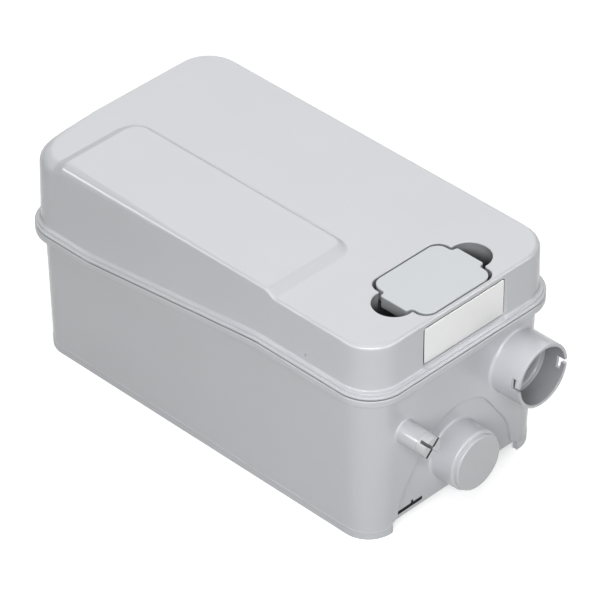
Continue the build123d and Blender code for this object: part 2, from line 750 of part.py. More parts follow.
def make_top_cover():
    """Moulded cover: drafted walls, raised pad, lipped flange, hatch bucket and plate recess."""
    skin = cover_prism(0, COVER_TOP + PAD_RISE + 1) & top_block(0)
    top_edges = [
        e for e in skin.edges()
        if e.center().Z > COVER_TOP - 0.5 and abs(e.tangent_at(0.5).Z) < 0.9
        and any(abs(f.normal_at().Z) < 0.3 and e in f.edges() for f in skin.faces())
    ]
    skin = fillet(top_edges, COVER_EDGE_FILLET)
    skin = skin & seam_side(SEAM_GAP, True)
    skin = skin + fillet(side_loops(seam_band(SEAM_GAP, LEDGE_HEIGHT, LEDGE_INSET)), LEDGE_ROUND)
    skin = fillet(ledge_corner(skin), LEDGE_COVE)
    outer = skin + fillet(side_loops(seam_band(SEAM_GAP, LIP_HEIGHT, 0)), LIP_ROUND)
    cavity = cover_prism(WALL, COVER_TOP + PAD_RISE + 1) & top_block(WALL)
    inner = top_block(WALL / 2)
    body = outer - cavity

    # Hatch bucket with its bored floor
    bucket_floor = COVER_TOP - HATCH_DEPTH
    bucket = extrude(Pos(0, 0, bucket_floor - HATCH_WALL) * hatch_face(HATCH_WALL), amount=HATCH_DEPTH)
    body = body + (bucket & cover_prism(0.5, COVER_TOP))
    body = body - extrude(Pos(0, 0, bucket_floor) * hatch_face(0), amount=FAR / 8)
    body = fillet(hatch_rim(body), HATCH_EDGE)
    neck = CAP_NECK_RADIUS + CAP_NECK_GAP
    body = body + rod_z(neck + 2, HATCH_X, 0, bucket_floor - CAP_NECK_DROP, bucket_floor - 1)
    body = body - rod_z(neck, HATCH_X, 0, bucket_floor - 20, bucket_floor + 1)

    # Recess for the blank plate, inside a shallow sunk frame
    body = body - extrude(Pos(plate_seat_x(), 0, PLATE_Z) * plate_face(PLATE_GAP), amount=FAR / 8)
    frame_x = plate_seat_x() + PLATE_RECESS - FRAME_DEPTH
    body = body - extrude(Pos(frame_x, 0, PLATE_Z) * plate_face(FRAME_MARGIN), amount=FAR / 8)

    # Screw posts that come down onto the tank's pillars, and the weep hole
    for x, y in screw_sites():
        foot = seam_height(x) - PILLAR_DROP + 0.05
        body = body + rod_z(POST_RADIUS, x, y, foot, COVER_TOP - 1)
        body = body - rod_z(COVER_SCREW_RADIUS, x, y, foot - 1, foot + COVER_SCREW_LENGTH)
    body = body - rod_y(WEEP_RADIUS, WEEP_X, -SIDE_Y, -SIDE_Y + 12, WEEP_Z)

    # Hangers of the control box and level switch, and the collar of the breather
    for x, y, z in hanger_sites():
        body = body + (rod_z(HANGER_RADIUS, x, y, z + 0.05, FAR / 2) & inner)
    collar = rod_z(FILTER_RADIUS + 2, FILTER_X, FILTER_Y, filter_top() - 9, COVER_TOP - 1)
    body = body + (collar - rod_z(FILTER_RADIUS + 0.05, FILTER_X, FILTER_Y, 0, COVER_TOP - WALL))
    return body


def hanger_sites():
    """Feet of the cover's hangers: two on the control box and two on the level switch."""
    lid_top = BOX_FOOT + BOX_HEIGHT + LID_THICK
    box = [(BOX_X + side * BOX_LENGTH / 3, BOX_Y, lid_top) for side in (-1, 1)]
    switch = [(SWITCH_X + side * SWITCH_RADIUS * 0.7, SWITCH_Y, switch_roof()) for side in (-1, 1)]
    return box + switch


def filter_top():
    """Height of the breather's top face, under the cover."""
    return COVER_TOP - WALL - 0.05


def switch_roof():
    """Height of the level switch's top face."""
    return switch_seat() + DIAPHRAGM_THICK + SWITCH_BODY


def switch_seat():
    """Height at which the diaphragm rests on the switch's base."""
    return SWITCH_Z + SWITCH_BASE


def make_cover_gasket():
    """Soft cord in the groove of the tank's rim."""
    return gasket_band(0)


def plate_seat_x():
    """X of the floor of the plate's recess in the drafted end wall."""
    rise = PLATE_Z - SEAM_BACK
    wall = RIM_LENGTH / 2 - COVER_INSET - rise * math.tan(math.radians(COVER_DRAFT))
    return wall - PLATE_RECESS


def cap_face(inset):
    """Outline of the service cap: a rounded body that sweeps into a tab at each end."""
    width = HATCH_WIDTH_X - 2 * CAP_GAP - 2 * inset
    length = HATCH_LENGTH_Y - 2 * CAP_END_GAP - 2 * inset
    middle = RectangleRounded(width, length, CAP_CORNER - inset)
    tab_corner = max(CAP_TAB_CORNER - inset, 0.5)
    outline = middle + RectangleRounded(CAP_TAB_WIDTH - 2 * inset, CAP_TAB_REACH - 2 * inset, tab_corner)
    roots = [
        v for v in outline.vertices()
        if abs(abs(v.Y) - length / 2) < 0.01 and abs(v.X) < CAP_TAB_WIDTH / 2 + 0.1
    ]
    return Pos(HATCH_X, 0, 0) * fillet(roots, CAP_TAB_COVE)


def make_service_cap():
    """Lift-out cap: a hollow handle body flush with the cover, over a round sealing neck."""
    body = extrude(Pos(0, 0, COVER_TOP - CAP_HEIGHT) * cap_face(0), amount=CAP_HEIGHT)
    rim = [e for e in body.edges() if e.center().Z > COVER_TOP - 0.1]
    body = fillet(rim, CAP_EDGE)
    room = extrude(Pos(0, 0, COVER_TOP - CAP_HEIGHT - 1) * cap_face(CAP_SHELL), amount=CAP_HEIGHT - CAP_SHELL)
    body = body - room
    bucket_floor = COVER_TOP - HATCH_DEPTH
    neck_foot = bucket_floor - CAP_NECK_DROP
    neck = rod_z(CAP_NECK_RADIUS, HATCH_X, 0, neck_foot, COVER_TOP - 1)
    neck = neck - rod_z(CAP_NECK_RADIUS - CAP_SHELL, HATCH_X, 0, neck_foot + CAP_SHELL, COVER_TOP - CAP_SHELL)
    collar = rod_z(CAP_NECK_RADIUS + 2.5, HATCH_X, 0, bucket_floor + 0.3, bucket_floor + 2.3)
    collar = collar - rod_z(CAP_NECK_RADIUS - 1, HATCH_X, 0, bucket_floor, bucket_floor + 3)
    groove = Pos(HATCH_X, 0, bucket_floor - 3) * Torus(CAP_NECK_RADIUS, SEAL_CORD + CORD_ROOM)
    return body + neck + collar - groove


def make_service_cap_seal():
    """Sealing ring in the groove of the service cap's neck."""
    ring = Torus(CAP_NECK_RADIUS, SEAL_CORD) & rod_z(CAP_NECK_RADIUS + CAP_NECK_GAP - SEAL_FIT, 0, 0, -5, 5)
    return Pos(HATCH_X, 0, COVER_TOP - HATCH_DEPTH - 3) * ring


def make_blank_plate():
    """Bare plate in its recess on the cover's port end."""
    plate = extrude(Pos(plate_seat_x(), 0, PLATE_Z) * plate_face(0), amount=PLATE_THICK)
    return fillet(plate.faces().sort_by(Axis.X)[-1].edges(), PLATE_EDGE)


def make_cover_screws():
    """Four screws that enter the pillars from beneath and grip the cover's posts."""
    screws = []
    for x, y in screw_sites():
        seat = seam_height(x) - PILLAR_DROP - 4
        head = rod_z(COVER_SCREW_HEAD, x, y, seat - 3, seat)
        shank = rod_z(COVER_SCREW_RADIUS - 0.05, x, y, seat - 0.5, seat + COVER_SCREW_LENGTH - 4)
        screws.append(head + shank)
    return grouped(screws)


def make_inlet_plug():
    """Blanking plug of the low inlet: a flanged cup with a sealing groove on its shank."""
    disc = rod_x(PLUG_DISC_RADIUS, STUB_MOUTH_X + 0.05, PLUG_FACE_X, 0, STUB_Z)
    face_edge = disc.edges().filter_by(GeomType.CIRCLE).sort_by(Axis.X)[-1]
    disc = fillet(face_edge, 1.0)
    back_x = STUB_MOUTH_X - PLUG_SHANK
    shank = rod_x(STUB_BORE - PLUG_FIT, back_x, STUB_MOUTH_X + 1, 0, STUB_Z)
    hollow = rod_x(STUB_BORE - PLUG_FIT - PLUG_WALL, back_x - 1, STUB_MOUTH_X, 0, STUB_Z)
    groove = seal_ring_x(STUB_BORE - PLUG_FIT, SEAL_CORD + CORD_ROOM, STUB_MOUTH_X - 7, 0, STUB_Z)
    return disc + shank - hollow - groove


def make_inlet_plug_seal():
    """Sealing ring of the inlet plug."""
    ring = seal_ring_x(STUB_BORE - PLUG_FIT, SEAL_CORD, STUB_MOUTH_X - 7, 0, STUB_Z)
    return ring & rod_x(STUB_BORE - SEAL_FIT, STUB_MOUTH_X - 12, STUB_MOUTH_X, 0, STUB_Z)


def make_drain_plug():
    """Quarter-turn drain plug with a cross-slotted head and a grooved stem."""
    head = rod_x(DRAIN_HEAD, DRAIN_MOUTH_X + 0.1, DRAIN_END_X, DRAIN_Y, DRAIN_Z)
    stem = rod_x(DRAIN_BORE - DRAIN_FIT, DRAIN_MOUTH_X - DRAIN_STEM, DRAIN_MOUTH_X + 1, DRAIN_Y, DRAIN_Z)
    body = head + stem
    body = fillet(mouth_ring(body, DRAIN_HEAD, DRAIN_END_X, DRAIN_Y, DRAIN_Z), DRAIN_EDGE)
    reach = DRAIN_RADIUS + 1
    half = CROSS_SLOT / 2
    slots = block(DRAIN_END_X - CROSS_DEPTH, DRAIN_END_X + 1, -reach, reach, -half, half)
    slots = slots + block(DRAIN_END_X - CROSS_DEPTH, DRAIN_END_X + 1, -half, half, -reach, reach)
    body = body - Pos(0, DRAIN_Y, DRAIN_Z) * Rot(45, 0, 0) * slots
    groove_x = DRAIN_MOUTH_X - 8
    return body - seal_ring_x(DRAIN_BORE - DRAIN_FIT, SEAL_CORD + CORD_ROOM, groove_x, DRAIN_Y, DRAIN_Z)


def make_drain_plug_seal():
    """Sealing ring on the drain plug's stem."""
    ring = seal_ring_x(DRAIN_BORE - DRAIN_FIT, SEAL_CORD, DRAIN_MOUTH_X - 8, DRAIN_Y, DRAIN_Z)
    return ring & rod_x(DRAIN_BORE - SEAL_FIT, DRAIN_MOUTH_X - 12, DRAIN_MOUTH_X, DRAIN_Y, DRAIN_Z)


def make_outlet_seal():
    """Lip seal in its seat behind the stop of the discharge socket."""
    seat_x = SOCKET_STOP_X - SEAL_SEAT_DEPTH
    x0 = seat_x + 0.05
    ring = tube_x(SEAL_SEAT_RADIUS - SEAL_FIT, CHAMBER_RADIUS - 1, x0, seat_x + 3, SOCKET_Y, SOCKET_Z)
    lip = tube_x(CHAMBER_RADIUS, CHAMBER_RADIUS - 1.8, seat_x + 1, seat_x + 2.4, SOCKET_Y, SOCKET_Z)
    return ring + lip


def hinge_z():
    """Height of the valve flap's hinge pin."""
    return SOCKET_Z + FLAP_RADIUS - 0.4


def make_valve_seat():
    """Insert of the non-return valve: seat, hose spigot and the two lugs of the hinge pin."""
    seat_x = SOCKET_INNER_X + 4
    face_x = seat_x + 6
    plug = rod_x(CHAMBER_RADIUS - 0.05, seat_x, face_x, SOCKET_Y, SOCKET_Z)
    hose_x = SOCKET_INNER_X - HOSE_GRIP
    body = plug + rod_x(HOSE_BORE - 0.05, hose_x, seat_x + 1, SOCKET_Y, SOCKET_Z)
    body = body - rod_x(HOSE_BORE - SPIGOT_WALL, hose_x - 1, seat_x + 2, SOCKET_Y, SOCKET_Z)
    body = body - rod_x(SEAT_BORE, seat_x + 2, face_x + 1, SOCKET_Y, SOCKET_Z)
    for side in (-1, 1):
        lug = Pos(face_x + 2.25, SOCKET_Y + side * 6, hinge_z()) * Box(6.5, 2.8, 5.2)
        body = body + (lug & rod_x(CHAMBER_RADIUS - 0.05, face_x - 1, face_x + 9, SOCKET_Y, SOCKET_Z))
    return body - rod_y(PIN_RADIUS + 0.02, flap_pin_x(), SOCKET_Y - 9, SOCKET_Y + 9, hinge_z())


def flap_pin_x():
    """X of the hinge pin of the valve flap."""
    return SOCKET_INNER_X + 10 + 2.8


def make_flap_pin():
    """Hinge pin of the valve flap, held in the seat's lugs."""
    return rod_y(PIN_RADIUS, flap_pin_x(), SOCKET_Y - 7.4, SOCKET_Y + 7.4, hinge_z())


def make_check_flap():
    """Flap of the non-return valve, with its hinge eye and a sealing face."""
    face_x = SOCKET_INNER_X + 10 + 0.1
    disc = rod_x(FLAP_RADIUS, face_x, face_x + FLAP_THICK, SOCKET_Y, SOCKET_Z)
    disc = disc - block(face_x - 1, face_x + 5, SOCKET_Y - 20, SOCKET_Y + 20, hinge_z() - 4, hinge_z() + 9)
    web = block(face_x, face_x + FLAP_THICK, SOCKET_Y - 4.2, SOCKET_Y + 4.2, hinge_z() - 6, hinge_z())
    eye = rod_y(PIN_RADIUS + 1.1, flap_pin_x(), SOCKET_Y - 4.2, SOCKET_Y + 4.2, hinge_z())
    body = disc + web + eye
    return body - rod_y(PIN_RADIUS + 0.06, flap_pin_x(), SOCKET_Y - 9, SOCKET_Y + 9, hinge_z())


def hose_route():
    """Centre line of the rising hose: out of the pump's side, then forward to the valve."""
    return FilletPolyline(
        (outlet_x(), outlet_y(), SOCKET_Z),
        (outlet_x(), SOCKET_Y, SOCKET_Z),
        (SOCKET_INNER_X - 0.6, SOCKET_Y, SOCKET_Z),
        radius=HOSE_BEND,
    )


def casing_front():
    """X of the pump casing's flange face."""
    return PARTITION_X + CASING_LENGTH


def outlet_x():
    """X of the pump casing's side outlet."""
    return PARTITION_X + CASING_BACK + OUTLET_OFFSET


def outlet_y():
    """Y at which the hose stops against the pump casing's outlet."""
    return PUMP_Y + CASING_RADIUS + 1


def make_discharge_hose():
    """Rubber hose from the pump's outlet to the non-return valve."""
    route = hose_route()
    start = Plane(origin=route @ 0, z_dir=route % 0)
    wall = start * (Circle(HOSE_RADIUS) - Circle(HOSE_BORE))
    return sweep(wall, path=route)


def make_hose_clamps():
    """Two band clamps with their screw housings, one at each end of the hose."""
    outer = HOSE_RADIUS + CLAMP_THICK
    inner = HOSE_RADIUS + 0.05
    x = SOCKET_INNER_X - 7
    valve_band = tube_x(outer, inner, x - 4, x + 4, SOCKET_Y, SOCKET_Z)
    valve_band = valve_band + Pos(x, SOCKET_Y, SOCKET_Z + outer + 1.6) * Box(7, 12, 4)
    x = outlet_x()
    y0 = outlet_y() + 0.6
    y1 = y0 + SPIGOT_GRIP - 1
    pump_band = rod_y(outer, x, y0, y1, SOCKET_Z) - rod_y(inner, x, y0 - 1, y1 + 1, SOCKET_Z)
    pump_band = pump_band + Pos(x, (y0 + y1) / 2, SOCKET_Z + outer + 1.6) * Box(12, y1 - y0, 4)
    return grouped([valve_band, pump_band])


def make_pump_casing():
    """Volute that bolts to the partition, with a tangential outlet at its side."""
    x0 = PARTITION_X
    x1 = casing_front()
    xm = outlet_x()
    body = rod_x(CASING_RADIUS, x0, x1, PUMP_Y, PUMP_Z)
    body = body + rod_x(CASING_RADIUS + FLANGE_REACH, x1 - FLANGE_THICK, x1, PUMP_Y, PUMP_Z)
    body = body + rod_y(HOSE_RADIUS + 1, xm, PUMP_Y, outlet_y() - 0.1, SOCKET_Z)
    body = body + rod_y(HOSE_BORE - 0.05, xm, PUMP_Y, outlet_y() + SPIGOT_GRIP, SOCKET_Z)
    body = body - rod_x(CASING_RADIUS - CASING_WALL, x0 + CASING_BACK, x1 + 1, PUMP_Y, PUMP_Z)
    body = body - rod_y(HOSE_BORE - SPIGOT_WALL, xm, PUMP_Y, outlet_y() + FAR / 8, SOCKET_Z)
    body = body - rod_x(BEARING_RADIUS - 3, x0 - 1, x0 + CASING_BACK + 1, PUMP_Y, PUMP_Z)
    for y, z in back_screws():
        body = body - rod_x(SCREW_RADIUS + SCREW_ROOM, x0 - 1, x0 + CASING_BACK - 1, y, z)
    for y, z in flange_screws():
        body = body - rod_x(SCREW_RADIUS + SCREW_ROOM, x1 - FLANGE_THICK - 1, x1 + 1, y, z)
    return body - seal_ring_x(casing_seal_radius(), SEAL_CORD + CORD_ROOM, x1, PUMP_Y, PUMP_Z)


def casing_seal_radius():
    """Radius of the sealing ring in the pump casing's flange."""
    return CASING_RADIUS - CASING_WALL / 2 + 0.3


def make_casing_seal():
    """Sealing ring between the pump casing and the suction cover."""
    x1 = casing_front()
    ring = seal_ring_x(casing_seal_radius(), SEAL_CORD, x1, PUMP_Y, PUMP_Z)
    return ring & rod_x(CASING_RADIUS + 5, x1 - 3, x1, PUMP_Y, PUMP_Z)


def make_suction_cover():
    """Flat cover of the pump casing, with its raised suction eye."""
    x0 = casing_front() + 0.05
    x1 = x0 + SUCTION_PLATE
    body = rod_x(CASING_RADIUS + FLANGE_REACH, x0, x1, PUMP_Y, PUMP_Z)
    body = body + rod_x(EYE_RADIUS + 2.5, x0 - 5, x0, PUMP_Y, PUMP_Z)
    body = body - rod_x(EYE_RADIUS, x0 - 6, x1 + 1, PUMP_Y, PUMP_Z)
    for y, z in flange_screws():
        body = body - rod_x(SCREW_RADIUS + SCREW_ROOM, x0 - 1, x1 + 1, y, z)
    return body


def make_suction_strainer():
    """Slotted cup over the suction eye."""
    x0 = casing_front() + SUCTION_PLATE + 0.1
    x1 = x0 + STRAINER_LENGTH
    body = rod_x(STRAINER_RADIUS, x0, x1, 0, 0) + rod_x(STRAINER_RADIUS + 3, x0, x0 + 2, 0, 0)
    body = body - rod_x(STRAINER_RADIUS - 1.6, x0 - 1, x1 - 1.6, 0, 0)
    reach = STRAINER_RADIUS + 5
    for i in range(STRAINER_SLOTS // 2):
        cut = block(x0 + 4, x1 - 3, -reach, reach, -STRAINER_SLOT / 2, STRAINER_SLOT / 2)
        body = body - Rot(360 * i / STRAINER_SLOTS, 0, 0) * cut
    return Pos(0, PUMP_Y, PUMP_Z) * body


def make_casing_screws():
    """Screws of the pump casing: a ring through its front flange and four into its back."""
    x1 = casing_front() + SUCTION_PLATE + 0.05
    front = [screw_x(x1, x1 - SUCTION_PLATE - FLANGE_THICK + 0.5, y, z) for y, z in flange_screws()]
    x0 = PARTITION_X - PARTITION_WALL
    back = [screw_x(x0, PARTITION_X + CASING_BACK - 1.5, y, z) for y, z in back_screws()]
    return grouped(front + back)


def impeller_back():
    """X of the back of the impeller."""
    return PARTITION_X + CASING_BACK + 2


def make_impeller():
    """Open impeller: a back disc and hub with swept vanes."""
    x0 = impeller_back()
    x1 = x0 + IMPELLER_DEPTH
    body = rod_x(IMPELLER_RADIUS, x0, x0 + 2, 0, 0) + rod_x(IMPELLER_HUB, x0, x1, 0, 0)
    sweep_radius = 18.0
    arc = tube_x(sweep_radius, sweep_radius - VANE_THICK, x0 + 1, x1 - 1, 16, 0)
    ring = rod_x(IMPELLER_RADIUS - 0.5, x0 + 1, x1 - 1, 0, 0)
    vane = arc & ring & block(x0, x1, -FAR, FAR, 2, FAR)
    for i in range(IMPELLER_VANES):
        body = body + Rot(360 * i / IMPELLER_VANES, 0, 0) * vane
    body = body - rod_x(SHAFT_RADIUS + PRESS_ROOM, x0 - 1, x1 + 1, 0, 0)
    return Pos(0, PUMP_Y, PUMP_Z) * body


def make_impeller_nut():
    """Hexagon nut on the threaded end of the shaft."""
    x0 = impeller_back() + IMPELLER_DEPTH + 0.05
    hexagon = Pos(x0, PUMP_Y, PUMP_Z) * (Plane.YZ * RegularPolygon(6.5, 6))
    body = extrude(hexagon, amount=5, dir=(1, 0, 0))
    return body - rod_x(THREAD_RADIUS + PRESS_ROOM, x0 - 1, x0 + 6, PUMP_Y, PUMP_Z)


def make_shaft_seal():
    """Seal cartridge in the partition, round the shaft."""
    x0 = PARTITION_X - PARTITION_WALL
    body = rod_x(NOSE_RADIUS + 1 - SEAL_FIT, x0 + 0.1, PARTITION_X - 0.05, PUMP_Y, PUMP_Z)
    body = body + rod_x(BEARING_RADIUS - 3.5, PARTITION_X - 0.1, PARTITION_X + CASING_BACK, PUMP_Y, PUMP_Z)
    return body - rod_x(SHAFT_RADIUS + SHAFT_FIT, x0 - 1, PARTITION_X + CASING_BACK + 1, PUMP_Y, PUMP_Z)


def make_rotor_shaft():
    """Motor shaft, stepped down to a thread at the impeller end."""
    x1 = impeller_back() + IMPELLER_DEPTH
    body = rod_x(SHAFT_RADIUS, MOTOR_BACK_X + 0.5, x1, PUMP_Y, PUMP_Z)
    return body + rod_x(THREAD_RADIUS, x1 - 1, x1 + 6, PUMP_Y, PUMP_Z)


def stator_middle():
    """X of the middle of the stator and rotor."""
    return (MOTOR_BACK_X + MOTOR_FRONT_X) / 2


def make_rotor_core():
    """Laminated rotor on the shaft, with a short end ring at each side."""
    half = STATOR_LENGTH / 2
    mid = stator_middle()
    body = rod_x(STATOR_BORE - AIR_GAP, mid - half, mid + half, PUMP_Y, PUMP_Z)
    body = body + rod_x(STATOR_BORE - AIR_GAP - 3, mid - half - 4, mid + half + 4, PUMP_Y, PUMP_Z)
    return body - rod_x(SHAFT_RADIUS + PRESS_ROOM, mid - FAR / 4, mid + FAR / 4, PUMP_Y, PUMP_Z)


def bearing_at(x0):
    """Sealed ball bearing with a recessed shield on each side."""
    x1 = x0 + BEARING_WIDTH
    body = rod_x(BEARING_RADIUS, x0, x1, PUMP_Y, PUMP_Z)
    for side in (x0, x1):
        body = body - tube_x(BEARING_RADIUS - 2.2, SHAFT_RADIUS + 2.2, side - 0.5, side + 0.5, PUMP_Y, PUMP_Z)
    return body - rod_x(SHAFT_RADIUS + SHAFT_FIT, x0 - 1, x1 + 1, PUMP_Y, PUMP_Z)


def nose_back():
    """X of the inner end of the motor's front bearing boss."""
    return MOTOR_FRONT_X - MOTOR_FACE - 7


def make_front_bearing():
    """Bearing in the nose of the motor housing."""
    return bearing_at(nose_back())


def make_rear_bearing():
    """Bearing in the motor's end cap."""
    return bearing_at(MOTOR_BACK_X)


def stator_slots(slack):
    """Ring of radial slots through the stator, each widened by slack."""
    mid = stator_middle()
    half = STATOR_LENGTH / 2 + 1
    slots = []
    for i in range(STATOR_SLOTS):
        slot = block(
            mid - half, mid + half, STATOR_BORE + 2.5 - slack, MOTOR_RADIUS - MOTOR_WALL - 4 + slack,
            -SLOT_WIDTH / 2 - slack, SLOT_WIDTH / 2 + slack,
        )
        slots.append(Pos(0, PUMP_Y, PUMP_Z) * Rot(360 * i / STATOR_SLOTS, 0, 0) * slot)
    return slots


def make_stator_core():
    """Laminated stator, slotted for its windings."""
    half = STATOR_LENGTH / 2
    mid = stator_middle()
    body = tube_x(MOTOR_RADIUS - MOTOR_WALL - PRESS_ROOM, STATOR_BORE, mid - half, mid + half, PUMP_Y, PUMP_Z)
    for slot in stator_slots(0.1):
        body = body - slot
    return body


def make_stator_windings():
    """Copper windings: a bundle through each slot and an overhang ring at each end."""
    half = STATOR_LENGTH / 2 + 0.2
    mid = stator_middle()
    rings = []
    for x0 in (mid - half - WINDING_OVERHANG, mid + half):
        ring = tube_x(
            MOTOR_RADIUS - MOTOR_WALL - 2, STATOR_BORE + 1.5, x0, x0 + WINDING_OVERHANG, PUMP_Y, PUMP_Z
        )
        rings.append(ring)
    return fused(rings + stator_slots(0))


def make_motor_housing():
    """Motor shell with its front bearing nose and the screw ears at its back."""
    wall_x = MOTOR_FRONT_X - MOTOR_FACE
    body = rod_x(MOTOR_RADIUS, MOTOR_BACK_X, MOTOR_FRONT_X, PUMP_Y, PUMP_Z)
    for y, z in ear_places():
        body = body + rod_x(EAR_RADIUS, MOTOR_BACK_X, MOTOR_BACK_X + EAR_LENGTH, y, z)
    body = body - rod_x(MOTOR_RADIUS - MOTOR_WALL, MOTOR_BACK_X - 1, wall_x, PUMP_Y, PUMP_Z)
    body = body + rod_x(NOSE_RADIUS, nose_back(), PARTITION_X - PARTITION_WALL - 0.1, PUMP_Y, PUMP_Z)
    seat_end = nose_back() + BEARING_WIDTH
    body = body - rod_x(BEARING_RADIUS + PRESS_ROOM, nose_back() - 1, seat_end, PUMP_Y, PUMP_Z)
    body = body - rod_x(SHAFT_RADIUS + 1, seat_end - 1, PARTITION_X, PUMP_Y, PUMP_Z)
    for y, z in ear_places():
        body = body - rod_x(SCREW_RADIUS + SCREW_ROOM, MOTOR_BACK_X - 1, MOTOR_BACK_X + EAR_LENGTH - 2, y, z)
    return body


def make_motor_end_cap():
    """Back cap of the motor, with its ears and the boss of the rear bearing."""
    x1 = MOTOR_BACK_X - 0.05
    x0 = x1 - END_CAP_THICK
    body = rod_x(MOTOR_RADIUS, x0, x1, PUMP_Y, PUMP_Z)
    for y, z in ear_places():
        body = body + rod_x(EAR_RADIUS, x0, x1, y, z)
        body = body - rod_x(SCREW_RADIUS + SCREW_ROOM, x0 - 1, x1 + 1, y, z)
    body = body + rod_x(NOSE_RADIUS, x1, x1 + BEARING_WIDTH, PUMP_Y, PUMP_Z)
    return body - rod_x(BEARING_RADIUS + PRESS_ROOM, x1, x1 + BEARING_WIDTH + 1, PUMP_Y, PUMP_Z)


def make_motor_screws():
    """Four screws that hold the motor's end cap."""
    x0 = MOTOR_BACK_X - 0.05 - END_CAP_THICK
    return grouped([screw_x(x0, MOTOR_BACK_X + EAR_LENGTH - 3, y, z) for y, z in ear_places()])


def make_motor_mounts():
    """Two rubber saddles between the motor and the tank's floor."""
    floor_top = BASE_RAISE + TANK_FLOOR
    saddles = []
    for x in (MOTOR_BACK_X + EAR_LENGTH + 8, MOTOR_FRONT_X - 16):
        saddle = block(
            x, x + SADDLE_LENGTH, PUMP_Y - SADDLE_HALF, PUMP_Y + SADDLE_HALF, floor_top, SADDLE_TOP
        )
        motor = rod_x(MOTOR_RADIUS + PRESS_ROOM, x - 1, x + SADDLE_LENGTH + 1, PUMP_Y, PUMP_Z)
        saddles.append(saddle - motor)
    return grouped(saddles)


def make_run_capacitor():
    """Motor run capacitor with two blade terminals."""
    half = CAPACITOR_LENGTH / 2
    can = rod_x(CAPACITOR_RADIUS, CAPACITOR_X - half, CAPACITOR_X + half, CAPACITOR_Y, CAPACITOR_Z)
    can = fillet(can.edges().filter_by(GeomType.CIRCLE), 1.5)
    for side in (-1, 1):
        y = CAPACITOR_Y + side * 5
        x = CAPACITOR_X + half
        can = can + block(x - 1, x + 8, y - 0.4, y + 0.4, CAPACITOR_Z - 3, CAPACITOR_Z + 3)
    return can


def make_control_box():
    """Open-topped tray of the motor control, with standoffs for its board."""
    x0 = BOX_X - BOX_LENGTH / 2
    y0 = BOX_Y - BOX_WIDTH / 2
    z1 = BOX_FOOT + BOX_HEIGHT
    body = block(x0, x0 + BOX_LENGTH, y0, y0 + BOX_WIDTH, BOX_FOOT, z1)
    body = fillet(body.edges().filter_by(Axis.Z), 4)
    room = block(
        x0 + BOX_WALL, x0 + BOX_LENGTH - BOX_WALL, y0 + BOX_WALL, y0 + BOX_WIDTH - BOX_WALL,
        BOX_FOOT + BOX_WALL, z1 + 1,
    )
    body = body - fillet(room.edges().filter_by(Axis.Z), 2)
    for sx in (-1, 1):
        for sy in (-1, 1):
            x = BOX_X + sx * (BOX_LENGTH / 2 - 7)
            y = BOX_Y + sy * (BOX_WIDTH / 2 - 7)
            body = body + rod_z(2.5, x, y, BOX_FOOT + 1, BOX_FOOT + 5)
    return body


def make_control_lid():
    """Lid of the control box, with a rim that drops into the tray."""
    z0 = BOX_FOOT + BOX_HEIGHT + 0.05
    x0 = BOX_X - BOX_LENGTH / 2
    y0 = BOX_Y - BOX_WIDTH / 2
    lid = block(x0, x0 + BOX_LENGTH, y0, y0 + BOX_WIDTH, z0, z0 + LID_THICK - 0.05)
    lid = fillet(lid.edges().filter_by(Axis.Z), 4)
    inset = BOX_WALL + 0.3
    rim = block(x0 + inset, x0 + BOX_LENGTH - inset, y0 + inset, y0 + BOX_WIDTH - inset, z0 - 2, z0 + 1)
    room = block(x0 + 5, x0 + BOX_LENGTH - 5, y0 + 5, y0 + BOX_WIDTH - 5, z0 - 3, z0)
    return lid + (fillet(rim.edges().filter_by(Axis.Z), 2) - room)


def make_circuit_board():
    """Circuit board on the tray's standoffs, with its relay, terminals and chips."""
    z0 = BOX_FOOT + 5.05
    z1 = z0 + BOARD_THICK
    half_x = BOX_LENGTH / 2 - BOX_WALL - 1.5
    half_y = BOX_WIDTH / 2 - BOX_WALL - 1.5
    board = block(BOX_X - half_x, BOX_X + half_x, BOX_Y - half_y, BOX_Y + half_y, z0, z1)
    relay = block(BOX_X - 18, BOX_X - 2, BOX_Y - 4, BOX_Y + 10, z1 - 0.2, z1 + 9)
    terminals = block(BOX_X + 4, BOX_X + 20, BOX_Y - 18, BOX_Y - 10, z1 - 0.2, z1 + 8)
    chip = block(BOX_X + 6, BOX_X + 14, BOX_Y + 2, BOX_Y + 10, z1 - 0.2, z1 + 1.4)
    can = rod_z(4, BOX_X - 14, BOX_Y - 13, z1 - 0.2, z1 + 10)
    return board + relay + terminals + chip + can


def make_switch_base():
    """Lower half of the level switch: the air chamber with its side nipple."""
    body = rod_z(SWITCH_RADIUS, SWITCH_X, SWITCH_Y, SWITCH_Z, switch_seat())
    nipple_z = SWITCH_Z + SWITCH_BASE / 2
    body = body + rod_x(NIPPLE_RADIUS, SWITCH_X, nipple_end(), SWITCH_Y, nipple_z)
    body = body - rod_z(SWITCH_RADIUS - 3, SWITCH_X, SWITCH_Y, SWITCH_Z + 1.6, switch_seat() + 1)
    return body - rod_x(NIPPLE_RADIUS - 1, SWITCH_X, nipple_end() + 1, SWITCH_Y, nipple_z)


def nipple_end():
    """X of the tip of the level switch's nipple."""
    return SWITCH_X + SWITCH_RADIUS + 8


def make_switch_diaphragm():
    """Rubber diaphragm clamped between the halves of the level switch."""
    z0 = switch_seat() + 0.02
    disc = rod_z(SWITCH_RADIUS - 0.4, SWITCH_X, SWITCH_Y, z0, switch_seat() + DIAPHRAGM_THICK - 0.02)
    groove = Pos(SWITCH_X, SWITCH_Y, z0) * Torus(SWITCH_RADIUS - 6, 0.5)
    return disc - groove


